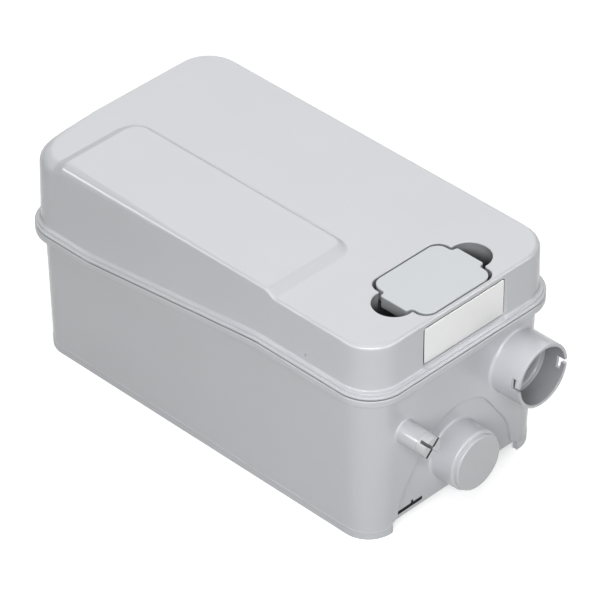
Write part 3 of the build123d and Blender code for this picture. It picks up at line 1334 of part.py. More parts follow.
def make_pressure_switch():
    """Upper half of the level switch, with the guide of its plunger."""
    z0 = switch_seat() + DIAPHRAGM_THICK
    body = rod_z(SWITCH_RADIUS, SWITCH_X, SWITCH_Y, z0, switch_roof())
    body = body - rod_z(SWITCH_RADIUS - SWITCH_WALL, SWITCH_X, SWITCH_Y, z0 - 1, switch_roof() - SWITCH_WALL)
    return body - rod_z(PLUNGER_RADIUS + PLUNGER_FIT, SWITCH_X, SWITCH_Y, z0, switch_roof() + 1)


def make_switch_plunger():
    """Plunger that the diaphragm lifts against its spring."""
    z0 = switch_seat() + DIAPHRAGM_THICK + 0.05
    body = rod_z(PLUNGER_FOOT, SWITCH_X, SWITCH_Y, z0, z0 + 2)
    return body + rod_z(PLUNGER_RADIUS, SWITCH_X, SWITCH_Y, z0 + 1, switch_roof() + 1.5)


def make_switch_spring():
    """Return spring of the level switch, coiled round its plunger."""
    z0 = switch_seat() + DIAPHRAGM_THICK + 2.1 + SPRING_WIRE
    z1 = switch_roof() - SWITCH_WALL - 0.05 - SPRING_WIRE
    coil = Helix(pitch=(z1 - z0) / SPRING_COILS, height=z1 - z0, radius=SPRING_RADIUS)
    wire = Plane(origin=coil @ 0, z_dir=coil % 0) * Circle(SPRING_WIRE)
    return Pos(SWITCH_X, SWITCH_Y, z0) * sweep(wire, path=coil, is_frenet=True)


def make_air_bell():
    """Air bell of the level switch: a tube closed at its top, with a nipple."""
    body = rod_z(BELL_RADIUS, BELL_X, BELL_Y, BELL_FOOT, BELL_TOP)
    body = body + rod_z(NIPPLE_RADIUS, BELL_X, BELL_Y, BELL_TOP - 1, BELL_TOP + 4.5)
    body = body - rod_z(BELL_RADIUS - BELL_WALL, BELL_X, BELL_Y, BELL_FOOT - 1, BELL_TOP - 2)
    return body - rod_z(NIPPLE_RADIUS - 1, BELL_X, BELL_Y, BELL_TOP - 3, BELL_TOP + 6)


def make_pressure_tube():
    """Air tube from the bell to the level switch."""
    nipple_z = SWITCH_Z + SWITCH_BASE / 2
    route = FilletPolyline(
        (SWITCH_X + SWITCH_RADIUS + 0.5, SWITCH_Y, nipple_z),
        (BELL_X, BELL_Y, nipple_z),
        (BELL_X, BELL_Y, BELL_TOP + 0.3),
        radius=TUBE_BEND,
    )
    start = Plane(origin=route @ 0, z_dir=route % 0)
    return sweep(start * (Circle(TUBE_RADIUS) - Circle(TUBE_BORE)), path=route)


def make_vent_filter():
    """Charcoal breather cartridge with slots across its lower face."""
    z1 = filter_top()
    z0 = z1 - FILTER_HEIGHT
    body = rod_z(FILTER_RADIUS, FILTER_X, FILTER_Y, z0, z1)
    for i in range(-2, 3):
        half = math.sqrt((FILTER_RADIUS - 3) ** 2 - (6 * i) ** 2)
        x = FILTER_X + 6 * i
        body = body - block(x - 1.2, x + 1.2, FILTER_Y - half, FILTER_Y + half, z0 - 1, z0 + 4)
    return body


def gland_seat_x():
    """X at which the gland's head meets the tank's drafted back wall."""
    return -tank_plan(GLAND_Z + GLAND_HEAD)[0] / 2 - 0.05


def make_cable_gland():
    """Cord inlet in the back wall: a low hexagon head over a threaded stem."""
    head_x = gland_seat_x()
    head = Pos(-END_X + 0.2, GLAND_Y, GLAND_Z) * (Plane.YZ * RegularPolygon(GLAND_HEAD, 6))
    body = extrude(head, amount=head_x + END_X - 0.2, dir=(1, 0, 0))
    body = body + rod_x(GLAND_RADIUS, head_x - 1, head_x + 13, GLAND_Y, GLAND_Z)
    return body - rod_x(GLAND_BORE, -END_X - 1, head_x + 14, GLAND_Y, GLAND_Z)


def make_gland_nut():
    """Nut of the cord inlet, inside the back wall."""
    x0 = -tank_plan(GLAND_Z - GLAND_HEAD)[0] / 2 + WALL + 0.1
    hexagon = Pos(x0, GLAND_Y, GLAND_Z) * (Plane.YZ * RegularPolygon(GLAND_HEAD, 6))
    body = extrude(hexagon, amount=5, dir=(1, 0, 0))
    return body - rod_x(GLAND_RADIUS + SCREW_ROOM, x0 - 1, x0 + 6, GLAND_Y, GLAND_Z)


PARTS = {
    "tank": make_tank,
    "top_cover": make_top_cover,
    "cover_gasket": make_cover_gasket,
    "cover_screws": make_cover_screws,
    "service_cap": make_service_cap,
    "service_cap_seal": make_service_cap_seal,
    "blank_plate": make_blank_plate,
    "inlet_plug": make_inlet_plug,
    "inlet_plug_seal": make_inlet_plug_seal,
    "drain_plug": make_drain_plug,
    "drain_plug_seal": make_drain_plug_seal,
    "outlet_seal": make_outlet_seal,
    "valve_seat": make_valve_seat,
    "flap_pin": make_flap_pin,
    "check_flap": make_check_flap,
    "discharge_hose": make_discharge_hose,
    "hose_clamps": make_hose_clamps,
    "pump_casing": make_pump_casing,
    "casing_seal": make_casing_seal,
    "suction_cover": make_suction_cover,
    "suction_strainer": make_suction_strainer,
    "casing_screws": make_casing_screws,
    "impeller": make_impeller,
    "impeller_nut": make_impeller_nut,
    "shaft_seal": make_shaft_seal,
    "rotor_shaft": make_rotor_shaft,
    "rotor_core": make_rotor_core,
    "front_bearing": make_front_bearing,
    "rear_bearing": make_rear_bearing,
    "stator_core": make_stator_core,
    "stator_windings": make_stator_windings,
    "motor_housing": make_motor_housing,
    "motor_end_cap": make_motor_end_cap,
    "motor_screws": make_motor_screws,
    "motor_mounts": make_motor_mounts,
    "run_capacitor": make_run_capacitor,
    "control_box": make_control_box,
    "control_lid": make_control_lid,
    "circuit_board": make_circuit_board,
    "switch_base": make_switch_base,
    "switch_diaphragm": make_switch_diaphragm,
    "pressure_switch": make_pressure_switch,
    "switch_plunger": make_switch_plunger,
    "switch_spring": make_switch_spring,
    "air_bell": make_air_bell,
    "pressure_tube": make_pressure_tube,
    "vent_filter": make_vent_filter,
    "cable_gland": make_cable_gland,
    "gland_nut": make_gland_nut,
}


def main():
    """Build every piece and write it under its node name."""
    os.makedirs("parts", exist_ok=True)
    for name, make in PARTS.items():
        export_step(make(), f"parts/{name}.step")


main()
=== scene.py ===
import math
import bmesh
import bpy
import numpy as np
from mathutils import Matrix, Vector
from mathutils.geometry import delaunay_2d_cdt


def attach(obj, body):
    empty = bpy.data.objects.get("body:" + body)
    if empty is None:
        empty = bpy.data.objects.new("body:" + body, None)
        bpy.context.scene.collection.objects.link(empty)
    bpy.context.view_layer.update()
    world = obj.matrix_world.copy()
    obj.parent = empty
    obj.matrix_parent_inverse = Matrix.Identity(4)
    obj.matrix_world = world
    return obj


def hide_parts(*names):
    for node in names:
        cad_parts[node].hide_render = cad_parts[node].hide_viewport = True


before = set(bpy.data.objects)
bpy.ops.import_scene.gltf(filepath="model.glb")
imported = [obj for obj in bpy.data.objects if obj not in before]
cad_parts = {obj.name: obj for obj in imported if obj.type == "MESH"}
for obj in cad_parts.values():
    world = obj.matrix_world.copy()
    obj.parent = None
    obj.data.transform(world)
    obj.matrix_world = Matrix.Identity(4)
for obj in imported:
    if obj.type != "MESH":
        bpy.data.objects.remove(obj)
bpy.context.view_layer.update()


# Tank. The lower half of the casing, one injection moulding in a satin light grey plastic with
# a fine spark-eroded grain. Its rim, ports, foot and ribs are all moulded in, and every other
# piece is fixed to it or hangs over it.

def feed(tree, inlet, value):
    """Link an inlet to a term or an outlet, or set it."""
    value = value.outlet if isinstance(value, Term) else value
    if isinstance(value, bpy.types.NodeSocket):
        tree.links.new(value, inlet)
    else:
        inlet.default_value = value


def put(tree, kind, inputs=None, outlet=0, **settings):
    """A node with its settings and inputs, given back as what it puts out."""
    node = tree.nodes.new(kind)
    for name, value in settings.items():
        setattr(node, name, value)
    for name, value in (inputs or {}).items():
        feed(tree, node.inputs[name], value)
    return Term(tree, node.outputs[outlet])


def calc(tree, operation, *values):
    """One sum in a node tree, from terms or numbers."""
    return put(tree, "ShaderNodeMath", dict(enumerate(values)), operation=operation)


def vector(tree, operation, *values, outlet=0, **inputs):
    """One sum of vectors in a node tree."""
    inputs = {**dict(enumerate(values)), **inputs}
    return put(tree, "ShaderNodeVectorMath", inputs, outlet, operation=operation)


class Term:
    """What a node puts out. Sums written on it add the nodes that work them out."""

    def __init__(self, tree, outlet):
        self.tree, self.outlet = tree, outlet

    def __add__(self, other):
        return calc(self.tree, "ADD", self, other)

    def __sub__(self, other):
        return calc(self.tree, "SUBTRACT", self, other)

    def __rsub__(self, other):
        return calc(self.tree, "SUBTRACT", other, self)

    def __mul__(self, other):
        return calc(self.tree, "MULTIPLY", self, other)

    def __truediv__(self, other):
        return calc(self.tree, "DIVIDE", self, other)

    def __pow__(self, other):
        return calc(self.tree, "POWER", self, other)

    def __abs__(self):
        return calc(self.tree, "ABSOLUTE", self)

    def to(self, operation, *others):
        """Another sum that starts with this number."""
        return calc(self.tree, operation, self, *others)

    def share(self):
        """This number held between zero and one."""
        return self.to("MAXIMUM", 0).to("MINIMUM", 1)

    def also(self, outlet):
        """Another outlet of the same node."""
        return Term(self.tree, self.outlet.node.outputs[outlet])


def axes_at(tree, kind="ShaderNodeTexCoord", outlet="Object"):
    """X, Y and Z of a place, by default on the piece's own coordinates in metres."""
    parts = put(tree, "ShaderNodeSeparateXYZ", {"Vector": put(tree, kind, outlet=outlet)})
    return [parts.also(axis) for axis in "XYZ"]


def own_place(tree):
    """A place on the piece's own coordinates, in metres."""
    return put(tree, "ShaderNodeTexCoord", outlet="Object")


def inlet(finish, name):
    """One of the inlets of a finish's shader."""
    return finish.node_tree.nodes["Principled BSDF"].inputs[name]


def new_finish(name, colour, roughness, metallic=0.0):
    """A material with its shader, ready for grain to be added."""
    finish = bpy.data.materials.new(name)
    finish.use_nodes = True
    inlet(finish, "Base Color").default_value = (*colour, 1)
    inlet(finish, "Roughness").default_value = roughness
    inlet(finish, "Metallic").default_value = metallic
    return finish


def noise_of(finish, scale, detail=2.0, stretch=(1, 1, 1)):
    """Noise over the piece's own coordinates, in waves a metre."""
    tree = finish.node_tree
    place = put(tree, "ShaderNodeMapping", {"Vector": own_place(tree), "Scale": stretch})
    sizes = {"Vector": place, "Scale": scale, "Detail": detail}
    return put(tree, "ShaderNodeTexNoise", sizes, "Fac")


PATTERN_SPAN = (0.3, 0.7)


def ranged(finish, source, low, high):
    """A pattern brought between two values."""
    span = {"From Min": PATTERN_SPAN[0], "From Max": PATTERN_SPAN[1], "To Min": low, "To Max": high}
    return put(finish.node_tree, "ShaderNodeMapRange", {"Value": source, **span})


def tone_by(finish, source, dark, light):
    """Base colour that drifts between two tones with a pattern."""
    ramp = put(finish.node_tree, "ShaderNodeValToRGB", {"Fac": source})
    stops = ramp.outlet.node.color_ramp.elements
    for i, (place, colour) in enumerate(zip(PATTERN_SPAN, (dark, light))):
        stops[i].position, stops[i].color = place, (*colour, 1)
    feed(finish.node_tree, inlet(finish, "Base Color"), ramp)


def roughen(finish, source, low, high):
    """Roughness that drifts between two values with a pattern."""
    feed(finish.node_tree, inlet(finish, "Roughness"), ranged(finish, source, low, high))


def emboss(finish, source, height, strength):
    """Surface relief from a pattern, height in metres. A second call adds to the first."""
    tree, normal = finish.node_tree, inlet(finish, "Normal")
    sizes = {"Height": source, "Distance": height, "Strength": strength}
    if normal.is_linked:
        sizes["Normal"] = normal.links[0].from_socket
    feed(tree, normal, put(tree, "ShaderNodeBump", sizes))


def dress(finish, *nodes):
    """Give CAD nodes a finish."""
    for name in nodes:
        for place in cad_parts[name].material_slots:
            place.material = finish


def within(finish, low, high, soft):
    """One inside a box given in millimetres, easing to zero over a short way outside it."""
    held = 1.0
    for along, near, far in zip(axes_at(finish.node_tree), low, high):
        middle, half = (near + far) / 2000, (far - near) / 2
        left = abs(along - middle) * (-1000 / soft) + (1 + half / soft)
        held = left.share() * held
    return held


def bored(finish, centre_y, centre_z, radius, near, far):
    """One inside a bore along X, deeper from its mouth to its back, in millimetres."""
    x, y, z = axes_at(finish.node_tree)
    spread = ((y - centre_y / 1000) ** 2 + (z - centre_z / 1000) ** 2).to("SQRT")
    edge = spread * -4000 + (1 + radius * 4)
    deep = (x * -1000 + far) / (far - near)
    return edge.share() * (deep * 0.35 + 0.65).share() * x.to("GREATER_THAN", near / 1000)


def painted_shade(finish, mask, share):
    """Base colour brought down to a share of itself where a mask is one: painted shade in a hollow.
    """
    tree, colour = finish.node_tree, inlet(finish, "Base Color")
    unshaded = colour.links[0].from_socket
    feed(tree, colour, vector(tree, "SCALE", unshaded, Scale=mask * (share - 1) + 1))


def moulded_plastic(name, dark, light, roughness, grain=0.12):
    """Satin moulding: slow drift of tone, uneven sheen and a spark-eroded grain."""
    finish = new_finish(name, light, roughness)
    tone_by(finish, noise_of(finish, 16, 3), dark, light)
    roughen(finish, noise_of(finish, 40, 2), roughness - 0.012, roughness + 0.018)
    emboss(finish, noise_of(finish, 700, 1), 0.00001, grain)
    return finish


casing_grey = moulded_plastic("casing_grey", (0.634, 0.643, 0.672), (0.650, 0.659, 0.688), 0.22)
dress(casing_grey, "tank")


# Top cover. The upper half of the casing, moulded in the same grey, with a raised pad along one
# side, a lipped flange that follows the sloping seam, and the hatch's bucket sunk in its port
# end. Four screws pull it down from beneath. Rings climb its flange and walls, and webs span
# its top and roof. The bucket is joined on, and its openings are cut, as closed solids.

RIM_X, RIM_Y, RIM_CORNER = 150, 82.25, 25
WALL_INSET, WALL_CORNER = 3.2, 23
SEAM_LOW, SEAM_HIGH = 92.8, 110.4
KNEE_BACK, KNEE_FRONT, KNEE_BLEND = -89.5, 54.3, 2.44
COVER_TOP = 146.5
PAD_RISE = 3.5
PAD_FOOT = (-121.5, 68.5, -9.2, 17.0, 13.0)
PAD_CREST = (-112.7, 59.7, -15.1, 8.5, 6.0)
SHELL = 2.6
LEAN = math.tan(math.radians(1.0))
HATCH_X, HATCH_FLAT, BUCKET_WALL = 119.5, 0.9, 2.2
BUCKET_FLOOR = 126.5
NECK_BORE, NECK_RADIUS, NECK_DROP = 16.4, 18.4, 6
PLATE_Z, PLATE_HALF_Y, PLATE_HALF_Z = 129.2, 33.8, 12.8
DISCHARGE_Y, DISCHARGE_Z = 47.2, 74.4
PAD_LINES = (0.0, 0.05, 0.1, 0.16, 0.25, 0.37, 0.5, 0.63, 0.75, 0.84, 0.9, 0.95, 1.0)


def rise_from(u, blend):
    """Zero before the start, then one for one, eased over the blend."""
    return np.where(u < -blend, 0.0, np.where(u > blend, u, (u + blend) ** 2 / (4 * blend)))


def seam_z(x):
    """Height of the seam along the casing."""
    slope = (SEAM_HIGH - SEAM_LOW) / (KNEE_FRONT - KNEE_BACK)
    climb = rise_from(x - KNEE_BACK, KNEE_BLEND) - rise_from(x - KNEE_FRONT, KNEE_BLEND)
    return SEAM_LOW + slope * climb


def along_seam(finish, rise, half, soft):
    """One in a thin band that follows the seam, in millimetres above it."""
    x, _, z = axes_at(finish.node_tree)
    slope = (SEAM_HIGH - SEAM_LOW) / (KNEE_FRONT - KNEE_BACK)
    held = x.to("SMOOTH_MAX", KNEE_BACK / 1000, 0.008).to("SMOOTH_MIN", KNEE_FRONT / 1000, 0.008)
    line = held * slope + (SEAM_LOW - slope * KNEE_BACK + rise) / 1000
    return (abs(z - line) * (-1000 / soft) + (1 + half / soft)).share()


def depth_within(x, y, outline):
    """Distance inside one of the pad's outlines, negative outside it."""
    back, front, side, round_back, round_front = outline
    behind = x < (back + front) / 2
    corner = np.where(behind, round_back, round_front)
    along = np.where(behind, back - x, x - front) + corner
    across = y - side + corner
    outside = np.hypot(np.maximum(along, 0), np.maximum(across, 0))
    return corner - outside - np.minimum(np.maximum(along, across), 0)


def top_z(x, y):
    """Height of the cover's top: crisp at the pad's back slope, soft at its front one."""
    x, y = np.asarray(x, float), np.asarray(y, float)
    foot, crest = depth_within(x, y, PAD_FOOT), depth_within(x, y, PAD_CREST)
    share = np.where(crest >= 0, 1.0, np.clip(foot / np.maximum(foot - crest, 1e-9), 0, 1))
    ease = 0.16 + 0.33 * np.clip((x + 60) / 110, 0, 1)
    low, high = share ** 2 / (2 * ease), 1 - ease - (1 - share) ** 2 / (2 * ease)
    slope = np.where(share < ease, low, np.where(share > 1 - ease, high, share - ease / 2))
    return COVER_TOP + PAD_RISE * slope / (1 - ease)


def pad_at(share):
    """The pad's outline between its foot and its crest."""
    return [foot + (crest - foot) * share for foot, crest in zip(PAD_FOOT, PAD_CREST)]


def side_places():
    """Stations along the long sides: closer at the pad's slopes and the seam's knees."""
    places = list(np.arange(-118, 122, 4.0))
    slopes = [x for share in PAD_LINES for x in pad_at(share)[:2]]
    places += slopes
    places += list(np.arange(KNEE_BACK - 3, KNEE_BACK + 4, 1.0))
    places += list(np.arange(KNEE_FRONT - 3, KNEE_FRONT + 4, 1.0))
    kept = []
    for x in sorted(places):
        near_slope = min(abs(x - other) for other in slopes)
        if near_slope == 0 or (x - kept[-1] > 0.4 if kept else True) and near_slope > 0.3:
            kept.append(x)
    return np.array(kept)


SIDE_X = side_places()
END_Y = np.arange(-54, 55, 6.0)
TURN = np.radians(np.arange(0, 91, 7.5))


def walk(half_x, half_y, corner):
    """Points round a rounded rectangle, and the outward direction at each."""
    cx, cy = half_x - corner, half_y - corner
    points, outward = [], []

    def straight(xs, ys, nx, ny):
        points.extend(zip(xs, ys))
        outward.extend([(nx, ny)] * len(xs))

    def bend(x, y, first):
        for angle in TURN + math.radians(first):
            points.append((x + corner * math.cos(angle), y + corner * math.sin(angle)))
            outward.append((math.cos(angle), math.sin(angle)))

    straight([half_x] * len(END_Y), END_Y, 1, 0)
    bend(cx, cy, 0)
    straight(SIDE_X[::-1], [half_y] * len(SIDE_X), 0, 1)
    bend(-cx, cy, 90)
    straight([-half_x] * len(END_Y), END_Y[::-1], -1, 0)
    bend(-cx, -cy, 180)
    straight(SIDE_X, [-half_y] * len(SIDE_X), 0, -1)
    bend(cx, -cy, 270)
    return np.array(points), np.array(outward)


def vert_at(mesh, place):
    """A vertex, from millimetres."""
    return mesh.verts.new([c / 1000 for c in place])


def ring_of(mesh, points, z):
    """A ring of vertices, from millimetres."""
    z = np.broadcast_to(z, len(points))
    return [vert_at(mesh, (x, y, h)) for (x, y), h in zip(points, z)]


def loft(mesh, rings):
    """Faces between each ring and the next."""
    for low, high in zip(rings, rings[1:]):
        for i in range(len(low)):
            j = (i + 1) % len(low)
            mesh.faces.new((low[i], low[j], high[j], high[i]))


def inside(loop, x, y):
    """Whether a point lies within a loop of vertices, seen from above."""
    hit = False
    for a, b in zip(loop, loop[1:] + loop[:1]):
        if (a.co.y > y) != (b.co.y > y):
            if x < a.co.x + (y - a.co.y) / (b.co.y - a.co.y) * (b.co.x - a.co.x):
                hit = not hit
    return hit


LEAST_AREA = 1e-10  # square metres: a thinner triangle is three points in a line


def web(mesh, outer, lines, spots, height):
    """Triangles that span a loop and follow extra lines and spots."""
    verts = list(outer)
    edges = [(i, (i + 1) % len(outer)) for i in range(len(outer))]
    for line in lines:
        first = len(verts)
        verts += line
        edges += [(first + i, first + i + 1) for i in range(len(line) - 1)]
    verts += spots
    flat = [Vector(v.co.xy if isinstance(v, bmesh.types.BMVert) else v) for v in verts]
    made, _, faces, source, _, _ = delaunay_2d_cdt(flat, edges, [], 0, 1e-7, True)
    used = {}

    def vertex(i):
        if i not in used:
            own = [verts[k] for k in source[i] if isinstance(verts[k], bmesh.types.BMVert)]
            x, y = made[i]
            used[i] = own[0] if own else mesh.verts.new((x, y, height(x * 1000, y * 1000) / 1000))
        return used[i]

    for face in faces:
        x, y = sum((made[i] for i in face), Vector((0, 0))) / len(face)
        a, b, c = [made[i] for i in face]
        if inside(outer, x, y) and abs((b - a).cross(c - a)) / 2 > LEAST_AREA:
            mesh.faces.new([vertex(i) for i in face])


def hatch_outline(grow):
    """The hatch hole: a rounded rectangle, a finger well at each end, and eased cusps between."""
    cusped = grow < 1
    lean = math.degrees(math.asin(0.8 / 14.3 if cusped else (1.8 - grow) / (13.3 + grow)))
    arcs = [
        (15.4, 22.0, 8.5, 0, 90), (14.277, 31.5, -1.0, 270, 180 - lean),
        (0, 32.3, 13.3, -lean, 180 + lean), (-14.277, 31.5, -1.0, lean, -90),
        (-15.4, 22.0, 8.5, 90, 180),
    ]
    arcs = arcs if cusped else arcs[::2]
    half = []
    for cx, cy, radius, first, last in arcs:
        steps = max(5, int(abs(radius * math.radians(last - first)) / 1.1))
        for angle in np.radians(np.linspace(first, last, steps + 1)):
            reach = abs(radius + grow)
            half.append((cx + reach * math.cos(angle), cy + reach * math.sin(angle)))
    whole = half + [(-x, -y) for x, y in half]
    return np.array(whole) + (HATCH_X, 0)


def circle(x, y, radius, count=64):
    """Points round a circle."""
    turn = np.radians(np.arange(count) * 360 / count)
    return np.stack([x + radius * np.cos(turn), y + radius * np.sin(turn)], 1)


def pad_line(share, edge):
    """The pad's outline at one share of its slope, between two vertices of the cover's edge."""
    x0, x1, side, back, front = pad_at(share)
    points = [(x0, y) for y in np.arange(-70, side - back, 4.0)]
    for angle in np.radians(np.arange(180, 89, -7.5)):
        points.append((x0 + back + back * math.cos(angle), side - back + back * math.sin(angle)))
    points += [(x, side) for x in np.arange(x0 + back + 4, x1 - front - 2, 6.0)]
    for angle in np.radians(np.arange(90, -1, -7.5)):
        out, across = front * math.cos(angle), front * math.sin(angle)
        points.append((x1 - front + out, side - front + across))
    points += [(x1, y) for y in np.arange(side - front - 3, -71, -4.0)]
    return [edge[0]] + [(x / 1000, y / 1000) for x, y in points] + [edge[1]]


def closest(ring, x, y):
    """The vertex of a ring nearest to a place in millimetres."""
    return min(ring, key=lambda v: math.hypot(v.co.x * 1000 - x, v.co.y * 1000 - y))


def eased(share):
    """A share held between zero and one, eased at both ends."""
    share = np.clip(share, 0, 1)
    return share * share * (3 - 2 * share)


FILLET_BROAD, FILLET_FINE, FILLET_BACK = 6.5, 2.0, 2.2
CORNER_MORE, PORT_MORE = 2.2, 1.6


def edge_fillet(x, y):
    """Radius of the cover's top edge: broad at the back corner, fine towards the port end."""
    narrowing = FILLET_BROAD + (FILLET_FINE - FILLET_BROAD) * eased((x + 118) / 150)
    near = np.where(y < 0, narrowing, FILLET_FINE)
    along_back = np.where(y < 0, 1.0, 0.0) * np.clip((-y - 18) / 40, 0, 1)
    near = np.where(x < -124, FILLET_BACK + (FILLET_BROAD - FILLET_BACK) * along_back, near)
    corner = eased(1 - np.hypot(x + 136, y + 68) / 26)
    port = eased(1 - np.hypot(x - 136, abs(y) - 68) / 26)
    return near + CORNER_MORE * corner + PORT_MORE * port


def cover_mesh():
    """The cover as one closed shell."""
    mesh = bmesh.new()
    flange, outward = walk(RIM_X, RIM_Y, RIM_CORNER)
    wall, _ = walk(RIM_X - WALL_INSET, RIM_Y - WALL_INSET, WALL_CORNER)
    seam = seam_z(flange[:, 0])

    # Flange: underside, lip, ledge and the cove under the wall
    quarter = [(math.cos(angle), math.sin(angle)) for angle in np.radians((0, 30, 60, 90))]
    profile = [(2.2, 0.35), (1.1, 0.55)]
    profile += [(0.8 - 0.8 * out, 1.4 - 0.8 * up) for up, out in quarter]
    profile += [(0.8 - 0.8 * out, 1.7 + 0.8 * up) for out, up in quarter]
    profile += [(1.5, 2.5)]
    profile += [(2.1 - 0.6 * out, 3.7 + 0.6 * up) for out, up in quarter]
    profile += [(2.2, 4.3)]
    rings = [ring_of(mesh, flange - outward * inset, seam + rise) for inset, rise in profile]
    for angle in np.radians((25, 50, 75, 90)):
        z = seam + 5.5 - 1.2 * math.cos(angle)
        at_wall = wall - outward * ((z - SEAM_LOW) * LEAN)[:, None]
        rings.append(ring_of(mesh, at_wall + outward * 1.2 * (1 - math.sin(angle)), z))

    # Walls, then the fillet of the top edge
    top = top_z(wall[:, 0], wall[:, 1])
    radius = edge_fillet(wall[:, 0], wall[:, 1])
    low, high = seam + 5.9, top - radius - 0.4
    for share in (0, 0.33, 0.66, 1):
        z = low + (high - low) * share
        rings.append(ring_of(mesh, wall - outward * ((z - SEAM_LOW) * LEAN)[:, None], z))
    root = (top - radius - SEAM_LOW) * LEAN
    for angle in np.radians(np.arange(0, 91, 11.25)):
        inset = root + radius * (1 - math.cos(angle))
        z = top - radius * (1 - math.sin(angle))
        rings.append(ring_of(mesh, wall - outward * inset[:, None], z))
    inset = root + radius + 0.35
    rings.append(ring_of(mesh, wall - outward * inset[:, None], top))
    loft(mesh, rings)

    # Top surface, with lines along the pad's slopes and round the hatch. The hatch's line is open
    # where the top's own edge cuts across it, and has one point where its cusps crowd them
    edge = rings[-1]
    rim = []
    for x, y in hatch_outline(HATCH_FLAT) / 1000:
        if x < 0.143 and (not rim or math.dist(rim[-1], (x, y)) > 0.0003):
            rim.append((x, y))
    lines = [rim]
    for share in PAD_LINES:
        lines.append(pad_line(share, [closest(edge, x, -76) for x in pad_at(share)[:2]]))
    spots = [(x / 1000, y / 1000) for x in range(-132, 92, 12) for y in range(-66, 72, 12)]
    spots = [p for p in spots if not 0 < depth_within(p[0] * 1000, p[1] * 1000, PAD_FOOT) < 11]
    web(mesh, edge, lines, spots, top_z)

    # Inner shell: up the inside of the walls and across the roof
    inner = []
    for share in (0, 0.04, 0.96, 1):
        z = seam + 0.35 + (top - SHELL - seam - 0.35) * share
        inner.append(ring_of(mesh, wall - outward * ((z - SEAM_LOW) * LEAN + SHELL)[:, None], z))
    loft(mesh, inner)
    lines = []
    for share in PAD_LINES[::3]:
        lines.append(pad_line(share, [closest(inner[-1], x, -74) for x in pad_at(share)[:2]]))
    web(mesh, inner[-1], lines, [], lambda x, y: top_z(x, y) - SHELL)
    loft(mesh, [rings[0], inner[0]])
    bmesh.ops.recalc_face_normals(mesh, faces=mesh.faces)
    return mesh


def data_of(mesh, name):
    """A worked mesh as mesh data."""
    data = bpy.data.meshes.new(name)
    mesh.to_mesh(data)
    mesh.free()
    return data


def add(name, data):
    """A new object in the scene."""
    item = bpy.data.objects.new(name, data)
    bpy.context.scene.collection.objects.link(item)
    return item


def settle(data, name, finish, body, sharp=32):
    """Put mesh data in the scene as one piece on its body: smooth, and sharp past an angle."""
    data.materials.clear()
    data.materials.append(finish)
    data.shade_smooth()
    data.set_sharp_from_angle(angle=math.radians(sharp))
    piece = add(name, data)
    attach(piece, body)
    return piece


def capped(tool, rings):
    """Rings lofted and closed at both ends, added to a mesh."""
    loft(tool, rings)
    for ring in (rings[0], rings[-1]):
        tool.faces.new(ring)
    return tool


def plate_cutter(margin, floor_x, corner, aside=0.0):
    """A tool for the recess of the blank plate, in the slightly leaning end wall."""
    half_y, half_z = PLATE_HALF_Y + margin, PLATE_HALF_Z + margin
    tool = bmesh.new()
    points = []
    for cy, cz, first in ((1, 1, 0), (-1, 1, 90), (-1, -1, 180), (1, -1, 270)):
        for angle in np.radians(np.arange(first, first + 91, 15)):
            y = cy * (half_y - corner) + corner * math.cos(angle) - aside
            z = PLATE_Z + cz * (half_z - corner) + corner * math.sin(angle) + aside
            points.append((y, z))
    rings = [[vert_at(tool, (x, y, z)) for y, z in points] for x in (floor_x, RIM_X + 5)]
    return capped(tool, rings)


def rod(tool, centre, axis, radius, low, high, count):
    """A closed round bar along X or Y added to a mesh, in millimetres."""
    rings = []
    for level in (low, high):
        ring = []
        for a, b in circle(0, 0, radius, count):
            place = (level, a, b) if axis == "x" else (a, level, b)
            ring.append(vert_at(tool, [c + d for c, d in zip(centre, place)]))
        rings.append(ring)
    return capped(tool, rings)


def closed_loft(*levels):
    """A closed tool through outlines at their heights."""
    tool = bmesh.new()
    return capped(tool, [ring_of(tool, outline, z) for outline, z in levels])


def plain_mesh(piece):
    """A piece's mesh with its modifiers applied."""
    graph = bpy.context.evaluated_depsgraph_get()
    return bpy.data.meshes.new_from_object(piece.evaluated_get(graph))


def cut(data, tool, operation="DIFFERENCE"):
    """Mesh data with a tool's volume taken away, or joined to it."""
    bmesh.ops.recalc_face_normals(tool, faces=tool.faces)
    host, cutter = add("host", data), add("cutter", data_of(tool, "tool"))
    step = host.modifiers.new("cut", "BOOLEAN")
    step.operation, step.object = operation, cutter
    step.solver = "EXACT"
    made = plain_mesh(host)
    for item in (host, cutter):
        bpy.data.objects.remove(item)
    return made


cover_data = data_of(cover_mesh(), "cover_shell")
wall_x = RIM_X - WALL_INSET - (PLATE_Z - SEAM_LOW) * LEAN

# The bucket and its neck are joined on, then the hatch, the bore, both steps of the plate's
# recess and the weep hole are cut
bucket_ends = (BUCKET_FLOOR - BUCKET_WALL, COVER_TOP - SHELL + 0.3)
bucket = [(hatch_outline(BUCKET_WALL), z) for z in bucket_ends]
neck = [(circle(HATCH_X, 0, NECK_RADIUS), z) for z in (BUCKET_FLOOR - NECK_DROP, BUCKET_FLOOR - 1)]
hatch = [(hatch_outline(0), z) for z in (BUCKET_FLOOR, BUCKET_FLOOR + 0.5, COVER_TOP - 0.9)]
for angle in np.radians((90, 60, 30, 0)):
    rim = COVER_TOP - 0.49 + 0.5 * math.cos(angle)
    hatch.append((hatch_outline(0.51 - 0.5 * math.sin(angle)), rim))
hatch.append((hatch_outline(0.51), COVER_TOP + 3))
past_neck = (BUCKET_FLOOR - NECK_DROP - 3, BUCKET_FLOOR + 1)
bore = [(circle(HATCH_X, 0, NECK_BORE), z) for z in past_neck]
for tool in (bucket, neck):
    cover_data = cut(cover_data, closed_loft(*tool), "UNION")
weep = rod(bmesh.new(), (93.5, 0, 119.6), "y", 0.8, -90, -70, 16)
